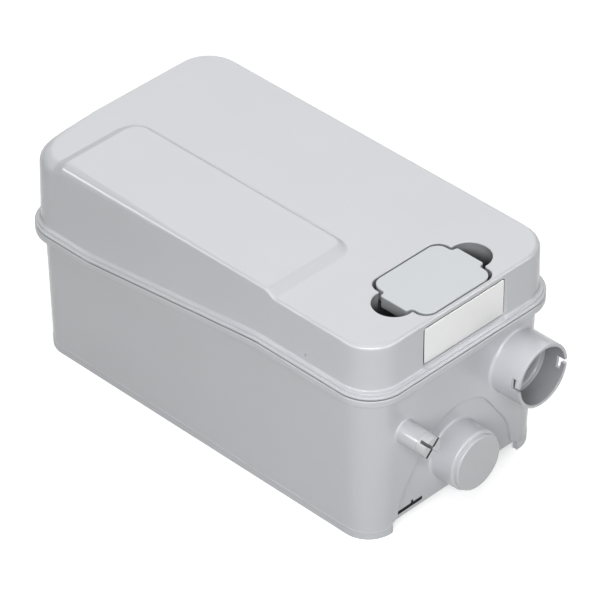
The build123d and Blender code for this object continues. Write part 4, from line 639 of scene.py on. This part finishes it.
for tool in (closed_loft(*hatch), closed_loft(*bore), plate_cutter(2.4, wall_x - 0.3, 3.8),
             plate_cutter(0.8, wall_x - 1.7, 2.2, 0.35), weep):
    cover_data = cut(cover_data, tool)

# Painted shade in the hatch's wells, at their foot, round the plate and in the low slot
painted_shade_boxes = (
    ((95, -46.5, 120), (144, 46.5, 145.6), 0.5, 0.50),
    ((103, -44, 100), (136, 44, 134), 8, 0.35),
    ((wall_x - 4, -35.2, 115.5), (wall_x - 1.25, 34.6, 143.0), 0.2, 0.55),
    ((127, -47.4, 7.2), (139.3, -26.0, 12.3), 0.15, 0.10),
)
for low, high, soft, share in painted_shade_boxes:
    painted_shade(casing_grey, within(casing_grey, low, high, soft), share)
# Painted shade inside the discharge socket, darker towards its back
painted_shade(casing_grey, bored(casing_grey, DISCHARGE_Y, DISCHARGE_Z, 19.4, 140, 167), 0.42)
# Painted shade along the seam's groove
painted_shade(casing_grey, along_seam(casing_grey, 0.3, 0.3, 0.3), 0.40)
cover = settle(cover_data, "moulded_cover", casing_grey, "casing")
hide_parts("top_cover")


# Cover gasket. A soft extruded cord of black rubber laid in the tank's rim. The cover squeezes
# it, so from outside it only darkens the seam.

def soft_rubber(name, dark, light, roughness):
    """Moulded rubber: dull, faintly dusty, with a fine skin."""
    finish = new_finish(name, light, roughness)
    tone_by(finish, noise_of(finish, 60, 5), dark, light)
    roughen(finish, noise_of(finish, 300, 3), roughness - 0.08, roughness + 0.06)
    emboss(finish, noise_of(finish, 1800, 3), 0.00008, 0.25)
    return finish


seal_black = soft_rubber("seal_black", (0.018, 0.018, 0.019), (0.030, 0.030, 0.031), 0.62)
dress(seal_black, "cover_gasket")


# Service cap and its seal. The hatch's lid, moulded like the cover with a flat bare top, a
# finger tab at each end and a neck that plugs the bore. The ring sits in the neck's groove.

cap_grey = moulded_plastic("cap_grey", (0.616, 0.641, 0.660), (0.631, 0.656, 0.676), 0.24, 0.08)
# Painted shade on the cap's sides where they stand down in the hatch's well, darker lower down
painted_shade(cap_grey, within(cap_grey, (90, -50, 100), (150, 50, 145.4), 0.5), 0.60)
painted_shade(cap_grey, within(cap_grey, (90, -50, 100), (150, 50, 132), 12), 0.45)
dress(cap_grey, "service_cap")
dress(seal_black, "service_cap_seal")


# Blank plate. A thin off-white plate glued in the recess of the port end. It is plain, with a
# faint brushing along its length.

plate_white = new_finish("plate_white", (0.742, 0.745, 0.742), 0.38, 0.85)
brushing = noise_of(plate_white, 900, 4, (1, 0.03, 1))
tone_by(plate_white, brushing, (0.60, 0.60, 0.60), (0.63, 0.63, 0.63))
# Painted shadow: the plate's sides behind its face are made nearly black, so the gap round it reads
# dark
plate_side_shadow = within(plate_white, (wall_x - 3, -36, 114), (wall_x - 0.76, 36, 144), 0.05)
painted_shade(plate_white, plate_side_shadow, 0.05)
roughen(plate_white, brushing, 0.32, 0.46)
emboss(plate_white, brushing, 0.00004, 0.2)
dress(plate_white, "blank_plate")


# Inlet plug and drain plug. Both are moulded in the casing's grey and pushed or turned into
# their ports, each on a rubber ring. The drain plug has a cross slot for a coin or driver.

plug_grey = moulded_plastic("plug_grey", (0.628, 0.636, 0.662), (0.644, 0.652, 0.679), 0.22, 0.10)


def in_cross(finish, centre_y, centre_z, half, near, far):
    """One on the walls of a cross slot cut in the end of a round plug, in millimetres."""
    x, y, z = axes_at(finish.node_tree)
    across, up = y - centre_y / 1000, z - centre_z / 1000
    leg = abs(across + up).to("MINIMUM", abs(across - up))
    slot = leg.to("LESS_THAN", half * math.sqrt(2) / 1000)
    return slot * x.to("LESS_THAN", far / 1000) * x.to("GREATER_THAN", near / 1000)


dress(plug_grey, "inlet_plug")
slotted_grey = moulded_plastic("slotted_grey", (0.66, 0.67, 0.695), (0.68, 0.69, 0.715), 0.22, 0.10)
DRAIN_Y, DRAIN_Z, SLOT_HALF = -48.0, 74.7, 1.04
# Painted shade on the walls of the drain plug's cross slot
painted_shade(slotted_grey, in_cross(slotted_grey, DRAIN_Y, DRAIN_Z, SLOT_HALF, 162, 166.75), 0.12)
dress(slotted_grey, "drain_plug")
dress(seal_black, "inlet_plug_seal", "drain_plug_seal")


# Outlet seal. The lip ring inside the discharge socket, moulded in grey rubber. A pushed-in
# pipe spreads its lip.

outlet_grey = soft_rubber("outlet_grey", (0.20, 0.21, 0.22), (0.25, 0.26, 0.27), 0.55)
dress(outlet_grey, "outlet_seal")


# Seal retainer. A moulded ring pressed into the discharge socket in front of its seal, with
# two raised beads round its face. It is turned from one profile.

def turned_ring(profile, axis_y, axis_z, count=96):
    """A closed profile of x and radius, in millimetres, turned about an X axis."""
    mesh = bmesh.new()
    rings = []
    for x, radius in profile:
        rings.append([vert_at(mesh, (x, y, z)) for y, z in circle(axis_y, axis_z, radius, count)])
    loft(mesh, rings + rings[:1])
    bmesh.ops.recalc_face_normals(mesh, faces=mesh.faces)
    return mesh


retainer_grey = moulded_plastic("retainer_grey", (0.50, 0.51, 0.53), (0.52, 0.53, 0.55), 0.16, 0.05)
retainer_profile = [
    (145.1, 19.05), (151.0, 19.05), (151.3, 18.95), (151.4, 18.75), (151.3, 18.5), (151.0, 18.4),
    (149.0, 18.3), (148.8, 18.1), (148.8, 17.5), (149.0, 17.3), (150.3, 17.2), (150.6, 17.0),
    (150.7, 16.7), (150.6, 16.45), (150.2, 16.3), (149.9, 16.2), (150.2, 16.05), (150.5, 15.8),
    (150.4, 15.5), (150.1, 15.3), (147.0, 15.2), (145.1, 15.2),
]
retainer = data_of(turned_ring(retainer_profile, DISCHARGE_Y, DISCHARGE_Z), "seal_retainer")
settle(retainer, "seal_retainer", retainer_grey, "casing", 50)


# Cover screws. Four pan-head screws of stainless steel, driven up through the tank's pillars
# into the cover's posts. Head, cross recess and rolled thread come from one node tree.

def new_tree(name, sizes):
    """A node tree, and what its named inputs bring in."""
    tree = bpy.data.node_groups.new(name, "GeometryNodeTree")
    for label, kind in {"Geometry": "Geometry", **sizes}.items():
        tree.interface.new_socket(label, in_out="INPUT", socket_type="NodeSocket" + kind)
    tree.interface.new_socket("Geometry", in_out="OUTPUT", socket_type="NodeSocketGeometry")
    outlets = tree.nodes.new("NodeGroupInput").outputs
    return tree, {name: Term(tree, outlet) for name, outlet in outlets.items()}


def end_tree(tree, result, finish):
    """Realize what a tree made and give it its material."""
    solid = put(tree, "GeometryNodeRealizeInstances", {"Geometry": result})
    painted = put(tree, "GeometryNodeSetMaterial", {"Geometry": solid, "Material": finish})
    feed(tree, tree.nodes.new("NodeGroupOutput").inputs[0], painted)
    return tree


def grow(tree, values, points, edges=()):
    """Run a node tree on points in millimetres and bring back a plain mesh."""
    seed = bpy.data.meshes.new("places")
    seed.from_pydata([[c / 1000 for c in point] for point in points], edges, [])
    carrier = add("places", seed)
    step = carrier.modifiers.new(tree.name, "NODES")
    step.node_group = tree
    for item in tree.interface.items_tree:
        if item.in_out == "INPUT" and item.name in values:
            step[item.identifier] = values[item.name]
    made = plain_mesh(carrier)
    carrier.modifiers.remove(step)
    bpy.data.objects.remove(carrier)
    return made


def joined(parts):
    """Several meshes as one."""
    whole = bmesh.new()
    for part in parts:
        whole.from_mesh(part)
    return data_of(whole, "joined")


def drawn_metal(name, dark, light, roughness, stretch=(1, 1, 1)):
    """Metal with fine tool marks and an uneven sheen."""
    finish = new_finish(name, light, roughness, 1.0)
    marks = noise_of(finish, 700, 4, stretch)
    tone_by(finish, noise_of(finish, 50, 3), dark, light)
    roughen(finish, marks, roughness - 0.07, roughness + 0.09)
    emboss(finish, marks, 0.00003, 0.3)
    return finish


SHANK_SHARE = 0.86
HEAD_REACH = ((0, 0.4), (0.08, 0.97), (0.2, 1), (0.45, 1), (0.62, 0.93), (0.8, 0.74), (1, 0.3))
HEAD_RISE = ((0, 0), (0.08, 0), (0.2, 0.05), (0.45, 0.45), (0.62, 0.74), (0.8, 0.93), (1, 1))


def bent_by(tree, value, points):
    """A number taken through a line of straight stretches."""
    bent = put(tree, "ShaderNodeFloatCurve", {"Value": value})
    mapping = bent.outlet.node.mapping
    curve = mapping.curves[0]
    curve.points[0].location, curve.points[1].location = points[0], points[-1]
    for point in points[1:-1]:
        curve.points.new(*point)
    for point in curve.points:
        point.handle_type = "VECTOR"
    mapping.update()
    return bent


def triple(tree, x=0.0, y=0.0, z=0.0):
    """A vector from three numbers."""
    return put(tree, "ShaderNodeCombineXYZ", {"X": x, "Y": y, "Z": z})


def screw_tree():
    """Screws at each point: rolled thread, pan head and cross recess, all in metres."""
    tree, given = new_tree("screw", {
        "Shank Radius": "Float", "Thread Depth": "Float", "Pitch": "Float", "Length": "Float",
        "Head Radius": "Float", "Head Height": "Float", "Recess": "Float", "Turn": "Vector",
        "Finish": "Material",
    })
    sizes = {"Vertices": 28, "Side Segments": 150, "Radius": 1.0, "Depth": 1.0}
    blank = put(tree, "GeometryNodeMeshCylinder", sizes)
    x, y, z = axes_at(tree, "GeometryNodeInputPosition", 0)
    along = z + 0.5

    # Shank: the thread runs out under the head, and the tip tapers
    share = (along / SHANK_SHARE).to("MINIMUM", 1.0)
    depth = (share - 1.0) * given["Length"]
    coil = depth / given["Pitch"] + y.to("ARCTAN2", x) / math.tau
    groove = (0.5 - coil.to("PINGPONG", 0.5)) * 2.0 * given["Thread Depth"]
    plain = ((1.0 - share) * 12.0).to("MINIMUM", 1.0)
    tip = (share * 9.0).to("MINIMUM", 1.0)
    shank = (given["Shank Radius"] - groove * plain) * (tip * 0.45 + 0.55)

    # Head, and the choice between the two along the blank
    top = ((along - SHANK_SHARE) / (1 - SHANK_SHARE)).to("MAXIMUM", 0.0)
    head = bent_by(tree, top, HEAD_REACH) * given["Head Radius"]
    choice = {"Switch": top.to("GREATER_THAN", 0.0), "False": shank, "True": head}
    radius = put(tree, "GeometryNodeSwitch", choice, input_type="FLOAT")
    height = depth + bent_by(tree, top, HEAD_RISE) * given["Head Height"]
    placed = triple(tree, x * radius, y * radius, height)
    current = put(tree, "GeometryNodeSetPosition", {"Geometry": blank, "Position": placed})

    # Recess: two crossed bars, one a little deeper, so that their floors don't coincide
    wing, slim = given["Head Radius"] * 1.15, given["Head Radius"] * 0.3
    for x, y, share in ((wing, slim, 2.0), (slim, wing, 2.06)):
        size = triple(tree, x, y, given["Recess"] * share)
        bar = put(tree, "GeometryNodeMeshCube", {"Size": size})
        lift = {"Geometry": bar, "Translation": triple(tree, z=given["Head Height"])}
        bar = put(tree, "GeometryNodeTransform", lift)
        both = {"Mesh 1": current, "Mesh 2": bar}
        current = put(tree, "GeometryNodeMeshBoolean", both, operation="DIFFERENCE")
    spread = {"Points": given["Geometry"], "Instance": current, "Rotation": given["Turn"]}
    return end_tree(tree, put(tree, "GeometryNodeInstanceOnPoints", spread), given["Finish"])


stainless = drawn_metal("stainless", (0.50, 0.49, 0.48), (0.60, 0.59, 0.58), 0.28)
screw = screw_tree()
cover_screw = {
    "Shank Radius": 0.00194, "Thread Depth": 0.00045, "Pitch": 0.0016, "Length": 0.0219,
    "Head Radius": 0.00398, "Head Height": 0.0029, "Recess": 0.0017, "Finish": stainless,
    "Turn": (math.pi, 0, 0),
}
seats = [(-122, -59, 66.85), (-122, 59, 66.85), (84, -68.25, 84.45), (84, 68.25, 84.45)]
screws = grow(screw, cover_screw, seats)
cover_screws = settle(screws, "threaded_cover_screws", stainless, "casing")
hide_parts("cover_screws")


# Non-return valve. A seat moulded in dark plastic plugs the back of the discharge socket, and
# a light flap hangs in it on a steel pin, so lifted water can't fall back.

valve_dark = moulded_plastic("valve_dark", (0.050, 0.053, 0.057), (0.066, 0.069, 0.073), 0.46, 0.2)
dress(valve_dark, "valve_seat", "check_flap")
dress(stainless, "flap_pin")


# Discharge hose and its clamps. Ribbed rubber hose bends from the pump's outlet to the valve,
# with smooth cuffs under two steel band clamps whose screw housings stand up.

def hose_tree():
    """Tube wall round a path, ribbed between smooth cuffs: out by its skin, back by its bore."""
    tree, given = new_tree("hose", {
        "Outer Radius": "Float", "Bore Radius": "Float", "Rib Depth": "Float", "Ribs": "Float",
        "Cuff": "Float", "Steps": "Int", "Around": "Int", "Upright": "Vector", "Finish": "Material",
    })
    wall = put(tree, "GeometryNodeMeshGrid", {
        "Size X": 1.0, "Size Y": 1.0, "Vertices X": given["Steps"], "Vertices Y": given["Around"],
    })
    x, y, _ = axes_at(tree, "GeometryNodeInputPosition", 0)
    loop, turn = x + 0.5, (y + 0.5) * math.tau

    # Place and directions along the path
    share = loop.to("PINGPONG", 0.5) * 2.0
    path = put(tree, "GeometryNodeMeshToCurve", {"Mesh": given["Geometry"]})
    place = {"Curves": path, "Factor": share}
    at = put(tree, "GeometryNodeSampleCurve", place, "Position", mode="FACTOR")
    ahead = at.also("Tangent")
    side = vector(tree, "NORMALIZE", vector(tree, "CROSS_PRODUCT", ahead, given["Upright"]))
    other = vector(tree, "CROSS_PRODUCT", side, ahead)

    # Radius: ribbed skin on the way out, bore on the way back, and the skin again at the last ring
    free = share.to("MINIMUM", 1.0 - share).to("GREATER_THAN", given["Cuff"])
    wave = (share * given["Ribs"]).to("PINGPONG", 0.5)
    skin = given["Outer Radius"] - (0.5 - wave) * 2.0 * given["Rib Depth"] * free
    out = (loop + 0.0001).to("FRACT").to("LESS_THAN", 0.5)
    choice = {"Switch": out, "False": given["Bore Radius"], "True": skin}
    radius = put(tree, "GeometryNodeSwitch", choice, input_type="FLOAT")
    across = vector(tree, "SCALE", side, Scale=turn.to("COSINE") * radius)
    above = vector(tree, "SCALE", other, Scale=turn.to("SINE") * radius)
    spot = vector(tree, "ADD", at, vector(tree, "ADD", across, above))
    shaped = put(tree, "GeometryNodeSetPosition", {"Geometry": wall, "Position": spot})
    welded = {"Geometry": shaped, "Distance": 0.00001}
    return end_tree(tree, put(tree, "GeometryNodeMergeByDistance", welded), given["Finish"])


def bent_route(corners, radius, spacing=1.0):
    """Points along straight runs joined by round bends, in millimetres."""
    points = [Vector(corners[0])]
    for before, corner, after in zip(corners, corners[1:], corners[2:]):
        corner = Vector(corner)
        into, away = (corner - Vector(before)).normalized(), (Vector(after) - corner).normalized()
        centre = corner + (away - into) * radius
        for angle in np.radians(np.linspace(0, 90, 13)):
            back, on = away * radius * math.cos(angle), into * radius * math.sin(angle)
            points.append(centre - back + on)
    points.append(Vector(corners[-1]))
    filled = [points[0]]
    for start, end in zip(points, points[1:]):
        count = max(1, round((end - start).length / spacing))
        filled += [start.lerp(end, (i + 1) / count) for i in range(count)]
    return filled


hose_rubber = soft_rubber("hose_rubber", (0.026, 0.026, 0.028), (0.040, 0.040, 0.042), 0.55)
OUTLET_X, OUTLET_Y, VALVE_X, HOSE_BEND = -5, 25, 99.4, 16
corners = [(OUTLET_X, OUTLET_Y), (OUTLET_X, DISCHARGE_Y), (VALVE_X, DISCHARGE_Y)]
route = bent_route([(x, y, DISCHARGE_Z) for x, y in corners], HOSE_BEND)
hose_sizes = {
    "Outer Radius": 0.01198, "Bore Radius": 0.0096, "Rib Depth": 0.0009, "Ribs": 36.0,
    "Cuff": 0.115, "Steps": 581, "Around": 41, "Upright": (0, 0, 1), "Finish": hose_rubber,
}
links = [(i, i + 1) for i in range(len(route) - 1)]
tube = hose_tree()
made = grow(tube, hose_sizes, route, links)
hose = settle(made, "ribbed_discharge_hose", hose_rubber, "casing")
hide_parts("discharge_hose")
dress(stainless, "hose_clamps")


# Pump casing, its gasket, suction cover and strainer. Glass-filled dark plastic, bolted
# together, with the strainer clipped over the eye.

pump_dark = moulded_plastic("pump_dark", (0.070, 0.074, 0.079), (0.094, 0.098, 0.103), 0.50, 0.3)
emboss(pump_dark, noise_of(pump_dark, 420, 5, (1, 0.25, 0.25)), 0.00006, 0.3)
dress(pump_dark, "pump_casing", "suction_cover", "suction_strainer")
dress(seal_black, "casing_seal")


# Casing screws. Six go through the suction cover into the flange, and four go through the
# partition into the casing's back.

PUMP_Y, PUMP_Z = -10, 54


def ring_places(count, radius, first, x):
    """Places round the pump's axis."""
    turns = np.radians(first + np.arange(count) * 360 / count)
    spots = [(radius * math.cos(turn), radius * math.sin(turn)) for turn in turns]
    return [(x, PUMP_Y + across, PUMP_Z + up) for across, up in spots]


small_screw = {
    "Shank Radius": 0.00178, "Thread Depth": 0.0004, "Pitch": 0.0013, "Head Radius": 0.00338,
    "Head Height": 0.00258, "Recess": 0.0015, "Finish": stainless,
}
front_screw = dict(small_screw, Length=0.0073, Turn=(0, math.pi / 2, 0))
back_screw = dict(small_screw, Length=0.0074, Turn=(0, -math.pi / 2, 0))
both = joined([
    grow(screw, front_screw, ring_places(6, 36.5, 30, 14.06)),
    grow(screw, back_screw, ring_places(4, 22, 45, -24.01)),
])
casing_screws = settle(both, "threaded_casing_screws", stainless, "casing")
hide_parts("casing_screws")


# Impeller, its nut and the shaft seal. The open impeller is moulded in glass-filled plastic
# round a keyed bore, and the nut holds it against the seal's face.

impeller_dark = moulded_plastic(
    "impeller_dark", (0.105, 0.110, 0.116), (0.135, 0.140, 0.146), 0.42, 0.2,
)
dress(impeller_dark, "impeller")
dress(stainless, "impeller_nut")
seal_faced = soft_rubber("seal_faced", (0.022, 0.022, 0.024), (0.036, 0.036, 0.038), 0.42)
dress(seal_faced, "shaft_seal")


# Motor shell and end cap. Drawn and die-cast light alloy, turned on its ends, with the cast
# skin left between.

cast_alloy = drawn_metal("cast_alloy", (0.42, 0.43, 0.44), (0.56, 0.57, 0.58), 0.42, (0.12, 1, 1))
emboss(cast_alloy, noise_of(cast_alloy, 320, 4), 0.00010, 0.35)
dress(cast_alloy, "motor_housing", "motor_end_cap")


# Motor screws. Four hold the end cap to the ears of the shell.

motor_screw = dict(small_screw, Length=0.0130, Turn=(0, -math.pi / 2, 0))
motor_screws = settle(
    grow(screw, motor_screw, ring_places(4, 40, 45, -122.06)),
    "threaded_motor_screws", stainless, "casing",
)
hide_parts("motor_screws")


# Rotor and bearings. A ground stainless shaft carries the laminated rotor, and a sealed ball
# bearing stands at each end.

TURNED = (1, 0.04, 0.04)  # tool marks as rings round X
shaft_steel = drawn_metal("shaft_steel", (0.55, 0.55, 0.54), (0.68, 0.68, 0.67), 0.2, TURNED)
dress(shaft_steel, "rotor_shaft")
bearing_steel = drawn_metal("bearing_steel", (0.46, 0.46, 0.46), (0.62, 0.62, 0.62), 0.24, TURNED)
dress(bearing_steel, "front_bearing", "rear_bearing")


def stacked_sheets(name):
    """Edges of a stack of thin steel sheets along X, oiled and slightly blued."""
    finish = drawn_metal(name, (0.16, 0.165, 0.175), (0.27, 0.27, 0.275), 0.45)
    tree = finish.node_tree
    sizes = {"Vector": own_place(tree), "Scale": 320, "Distortion": 0.4}
    emboss(finish, put(tree, "ShaderNodeTexWave", sizes, "Fac"), 0.00012, 0.6)
    return finish


lamination = stacked_sheets("lamination")
dress(lamination, "rotor_core", "stator_core")


# Stator windings. Enamelled copper wire wound through the core's slots. At each end the turns
# bend over in a bundle.

def winding_tree():
    """Wire rings in layers at both ends of the core, swaying as wound wire does."""
    tree, given = new_tree("winding", {
        "Inner Radius": "Float", "Wire Radius": "Float", "Pitch": "Float", "Layers": "Int",
        "Rows": "Int", "Wave": "Float", "Finish": "Material",
    })
    sizes = {"Resolution": 96, "Radius": 1.0}
    ring = put(tree, "GeometryNodeCurvePrimitiveCircle", sizes, mode="RADIUS")

    # Seats: each layer lies in the hollows of the one below
    seats = put(tree, "GeometryNodeMeshLine", {"Count": given["Layers"] * given["Rows"]})
    index = put(tree, "GeometryNodeInputIndex")
    layer = ((index + 0.5) / given["Rows"]).to("FLOOR")
    across = index - layer * given["Rows"] + layer.to("MODULO", 2.0) * 0.5
    size = given["Inner Radius"] + layer * given["Pitch"] * 0.87
    spot = triple(tree, across * given["Pitch"])
    seated = put(tree, "GeometryNodeSetPosition", {"Geometry": seats, "Position": spot})
    rings = put(tree, "GeometryNodeInstanceOnPoints", {
        "Points": seated, "Instance": ring, "Rotation": (0, math.pi / 2, 0),
        "Scale": triple(tree, size, size, 1.0),
    })
    bundle = put(tree, "GeometryNodeRealizeInstances", {"Geometry": rings})

    # Sway, then the wire's section
    _, y, z = axes_at(tree, "GeometryNodeInputPosition", 0)
    phase = z.to("ARCTAN2", y) * 12.0 + (y ** 2.0 + z ** 2.0).to("SQRT") * 900.0
    sway = triple(tree, phase.to("SINE") * given["Wave"])
    swayed = put(tree, "GeometryNodeSetPosition", {"Geometry": bundle, "Offset": sway})
    sizes = {"Resolution": 5, "Radius": given["Wire Radius"]}
    section = put(tree, "GeometryNodeCurvePrimitiveCircle", sizes, mode="RADIUS")
    wires = put(tree, "GeometryNodeCurveToMesh", {"Curve": swayed, "Profile Curve": section})
    spread = {"Points": given["Geometry"], "Instance": wires}
    return end_tree(tree, put(tree, "GeometryNodeInstanceOnPoints", spread), given["Finish"])


enamelled = drawn_metal("enamelled_copper", (0.42, 0.15, 0.055), (0.62, 0.25, 0.10), 0.30)
wire = {
    "Inner Radius": 0.0256, "Wire Radius": 0.00046, "Pitch": 0.00102, "Layers": 9, "Rows": 8,
    "Wave": 0.00035, "Finish": enamelled,
}
ends = grow(winding_tree(), wire, [(x, PUMP_Y, PUMP_Z) for x in (-105.3, -53.4)])
coils = bmesh.new()
coils.from_mesh(ends)
for step_turn in range(12):
    spin = Matrix.Rotation(math.radians(30 * step_turn), 4, "X")
    for radius in np.arange(25.6, 31.9, 0.95):
        for offset in (-1.45, -0.5, 0.45, 1.4):
            first = len(coils.verts)
            rod(coils, (0, 0, 0), "x", 0.44, -97.0, -53.9, 6)
            coils.verts.ensure_lookup_table()
            for vert in coils.verts[first:]:
                vert.co += Vector((0, radius / 1000, offset / 1000))
                vert.co = spin @ vert.co + Vector((0, PUMP_Y / 1000, PUMP_Z / 1000))
bmesh.ops.recalc_face_normals(coils, faces=coils.faces)
coils = data_of(coils, "wound_stator_coils")
windings = settle(coils, "wound_stator_coils", enamelled, "casing", 60)
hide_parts("stator_windings")


# Motor mounts. Two moulded rubber saddles that carry the motor on the tank's floor.

saddle_rubber = soft_rubber("saddle_rubber", (0.022, 0.022, 0.023), (0.036, 0.036, 0.037), 0.68)
dress(saddle_rubber, "motor_mounts")


# Run capacitor, control box and circuit board. A drawn can lies beside the motor. The board
# stands in a dark moulded box under a lid, with its relay, terminals and chips.

can_white = new_finish("can_white", (0.56, 0.565, 0.57), 0.3)
tone_by(can_white, noise_of(can_white, 30, 3), (0.53, 0.54, 0.55), (0.58, 0.585, 0.59))
roughen(can_white, noise_of(can_white, 200, 3, (0.2, 1, 1)), 0.26, 0.40)
emboss(can_white, noise_of(can_white, 500, 3, (0.15, 1, 1)), 0.00003, 0.3)
dress(can_white, "run_capacitor")
box_black = moulded_plastic("box_black", (0.030, 0.031, 0.033), (0.044, 0.045, 0.047), 0.48, 0.3)
dress(box_black, "control_box", "control_lid")


BOARD_TOP = 0.10478


def picked(tree, kind, share, first, second):
    """A number or colour that goes from the first to the second as the share goes to one."""
    pick = tree.nodes.new("ShaderNodeMix")
    pick.data_type = kind
    feed(tree, pick.inputs[0], share)
    ends = [socket for socket in pick.inputs if socket.name in "AB" and socket.enabled]
    for socket, value in zip(ends, (first, second)):
        feed(tree, socket, value)
    return Term(tree, next(socket for socket in pick.outputs if socket.enabled))


def board_finish():
    """Solder-masked board with faint tracks, and dark parts standing on it."""
    finish = new_finish("board_green", (0.02, 0.11, 0.05), 0.34)
    tree = finish.node_tree
    tracks = put(tree, "ShaderNodeTexBrick", {
        "Vector": own_place(tree), "Scale": 260, "Mortar Size": 0.12,
        "Color1": (0.016, 0.105, 0.045, 1), "Color2": (0.020, 0.125, 0.055, 1),
        "Mortar": (0.045, 0.19, 0.085, 1),
    })
    raised = axes_at(tree)[2].to("GREATER_THAN", BOARD_TOP)
    paint = picked(tree, "RGBA", raised, tracks, (0.03, 0.03, 0.034, 1))
    feed(tree, inlet(finish, "Base Color"), paint)
    roughen(finish, noise_of(finish, 400, 3), 0.28, 0.42)
    emboss(finish, tracks.also("Fac"), 0.00004, 0.4)
    return finish


dress(board_finish(), "circuit_board")


# Level switch, air bell and tube. Rising water squeezes air in the bell, the tube carries it
# to the chamber, and its rubber disc lifts the plunger against a coil spring.

switch_pale = moulded_plastic("switch_pale", (0.50, 0.49, 0.46), (0.55, 0.54, 0.51), 0.40, 0.15)
dress(switch_pale, "switch_base", "pressure_switch", "switch_plunger", "air_bell")
dress(seal_black, "switch_diaphragm")
spring_steel = drawn_metal("spring_steel", (0.44, 0.44, 0.43), (0.58, 0.58, 0.57), 0.25)
dress(spring_steel, "switch_spring")
tube_grey = soft_rubber("tube_grey", (0.16, 0.165, 0.17), (0.21, 0.215, 0.22), 0.36)
air_sizes = {
    "Outer Radius": 0.0035, "Bore Radius": 0.00205, "Rib Depth": 0.00012, "Ribs": 60.0,
    "Cuff": 0.06, "Steps": 481, "Around": 25, "Upright": (0, 1, 0), "Finish": tube_grey,
}
air_route = bent_route([(-40.5, -45, 107), (60, -45, 107), (60, -45, 95.3)], 7)
links = [(i, i + 1) for i in range(len(air_route) - 1)]
made = grow(tube, air_sizes, air_route, links)
air_tube = settle(made, "formed_pressure_tube", tube_grey, "casing")
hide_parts("pressure_tube")


# Vent filter. A slotted cartridge of charcoal felt under the cover lets air out without smell.

felt_black = new_finish("felt_black", (0.03, 0.03, 0.03), 0.9)
tone_by(felt_black, noise_of(felt_black, 1400, 6), (0.015, 0.015, 0.015), (0.050, 0.050, 0.052))
emboss(felt_black, noise_of(felt_black, 1100, 5), 0.0004, 0.6)
dress(felt_black, "vent_filter")


# Cable gland and nut. The cord's way in through the back wall, moulded in black with a nut
# inside. The cord itself isn't shown.

gland_black = moulded_plastic(
    "gland_black", (0.022, 0.022, 0.023), (0.034, 0.034, 0.035), 0.40, 0.2,
)
dress(gland_black, "cable_gland", "gland_nut")


# Studio. A plain white floor, a pale surround, and soft boxes at the front, overhead and behind.
# Three long thin cards show only as bright lines along rounded edges, and the front box shows
# only in the diffuse light. None of it belongs to the object.

SKY_LOW, SKY_RISE, BACKDROP = 0.12, 0.10, 1.0
GLOW_NEAR, GLOW_FAR = 0.48, 0.95
GLOW_START, GLOW_CLIMB = 0.3, 0.6


def seen_plainly(tree):
    """One for rays from the camera, a reflection or glass, and zero for the light's own."""
    seen = put(tree, "ShaderNodeLightPath", outlet="Is Camera Ray")
    mirrored = seen.to("MAXIMUM", seen.also("Is Glossy Ray"))
    return mirrored.to("MAXIMUM", seen.also("Is Transmission Ray"))


def studio_floor():
    """A wide flat floor that shows as white, keeps the shadow and throws back little light."""
    sheet = bmesh.new()
    bmesh.ops.create_grid(sheet, x_segments=1, y_segments=1, size=6)
    data = data_of(sheet, "studio_floor")
    finish = new_finish("floor_white", (0.92, 0.92, 0.92), 0.9)
    tree = finish.node_tree
    seen = seen_plainly(tree)
    paint = picked(tree, "RGBA", seen, (0.25, 0.25, 0.25, 1), (0.92, 0.92, 0.92, 1))
    feed(tree, inlet(finish, "Base Color"), paint)
    inlet(finish, "Emission Color").default_value = (1, 1, 1, 1)

    # The floor glows a little, more with distance, so that its far end stays white
    reach = vector(tree, "LENGTH", own_place(tree), outlet="Value")
    out = (reach * GLOW_CLIMB - GLOW_START).share()
    glow = out * (GLOW_FAR - GLOW_NEAR) + GLOW_NEAR
    feed(tree, inlet(finish, "Emission Strength"), picked(tree, "FLOAT", seen, 0.0, glow))
    data.materials.append(finish)
    return add("studio_floor", data)


studio_floor()

world = bpy.data.worlds.new("pale_surround")
bpy.context.scene.world = world
world.use_nodes = True
sky = world.node_tree
lit = axes_at(sky, outlet="Generated")[2].to("MAXIMUM", 0.0) * SKY_RISE + SKY_LOW
background = sky.nodes["Background"].inputs
feed(sky, background["Strength"], picked(sky, "FLOAT", seen_plainly(sky), lit, BACKDROP))
background["Color"].default_value = (1, 1, 1, 1)


AIM = Vector((0, 0, 0.08))


def soft_box(name, place, width, height, power):
    """A rectangular lamp that faces the object."""
    data = bpy.data.lights.new(name, "AREA")
    data.shape = "RECTANGLE"
    data.energy, data.size, data.size_y = power, width, height
    lamp = add(name, data)
    lamp.location = place
    lamp.rotation_euler = (AIM - Vector(place)).to_track_quat("-Z", "Y").to_euler()
    return lamp


soft_box("front_box", (1.03, -0.97, 0.90), 1.2, 0.6, 16.5).visible_glossy = False
soft_box("overhead_box", (0, 0, 1.6), 1.2, 1.2, 8.4)
soft_box("back_box", (-0.904, 0.904, 0.963), 0.9, 0.9, 3.8)

CARD_REACH = 1.6
cards = (
    ("edge_card", -45, 33, 26.0), ("edge_card_left", -108, 24, 18.0),
    ("edge_card_right", 18, 26, 18.0),
)
for name, turn, climb, power in cards:
    turn, climb = math.radians(turn), math.radians(climb)
    out = CARD_REACH * math.cos(climb)
    place = (out * math.cos(turn), out * math.sin(turn), AIM.z + CARD_REACH * math.sin(climb))
    soft_box(name, place, 1.6, 0.2, power).visible_diffuse = False

PICTURE_WIDTH, FOCAL_LENGTH = 600, 4354.02  # in pixels, solved on the photograph
view = bpy.data.cameras.new("camera")
view.sensor_width = 36.0
view.lens = FOCAL_LENGTH / PICTURE_WIDTH * view.sensor_width
camera = add("camera", view)
right, up, back = (0.71129, 0.70290, 0), (-0.42546, 0.43054, 0.79600), (0.55951, -0.56619, 0.60529)
turn = Matrix((right, up, back)).transposed().to_4x4()
turn.translation = (1.48530, -1.49135, 1.66774)
camera.matrix_world = turn
bpy.context.scene.camera = camera
bpy.context.scene.view_settings.view_transform = "Standard"
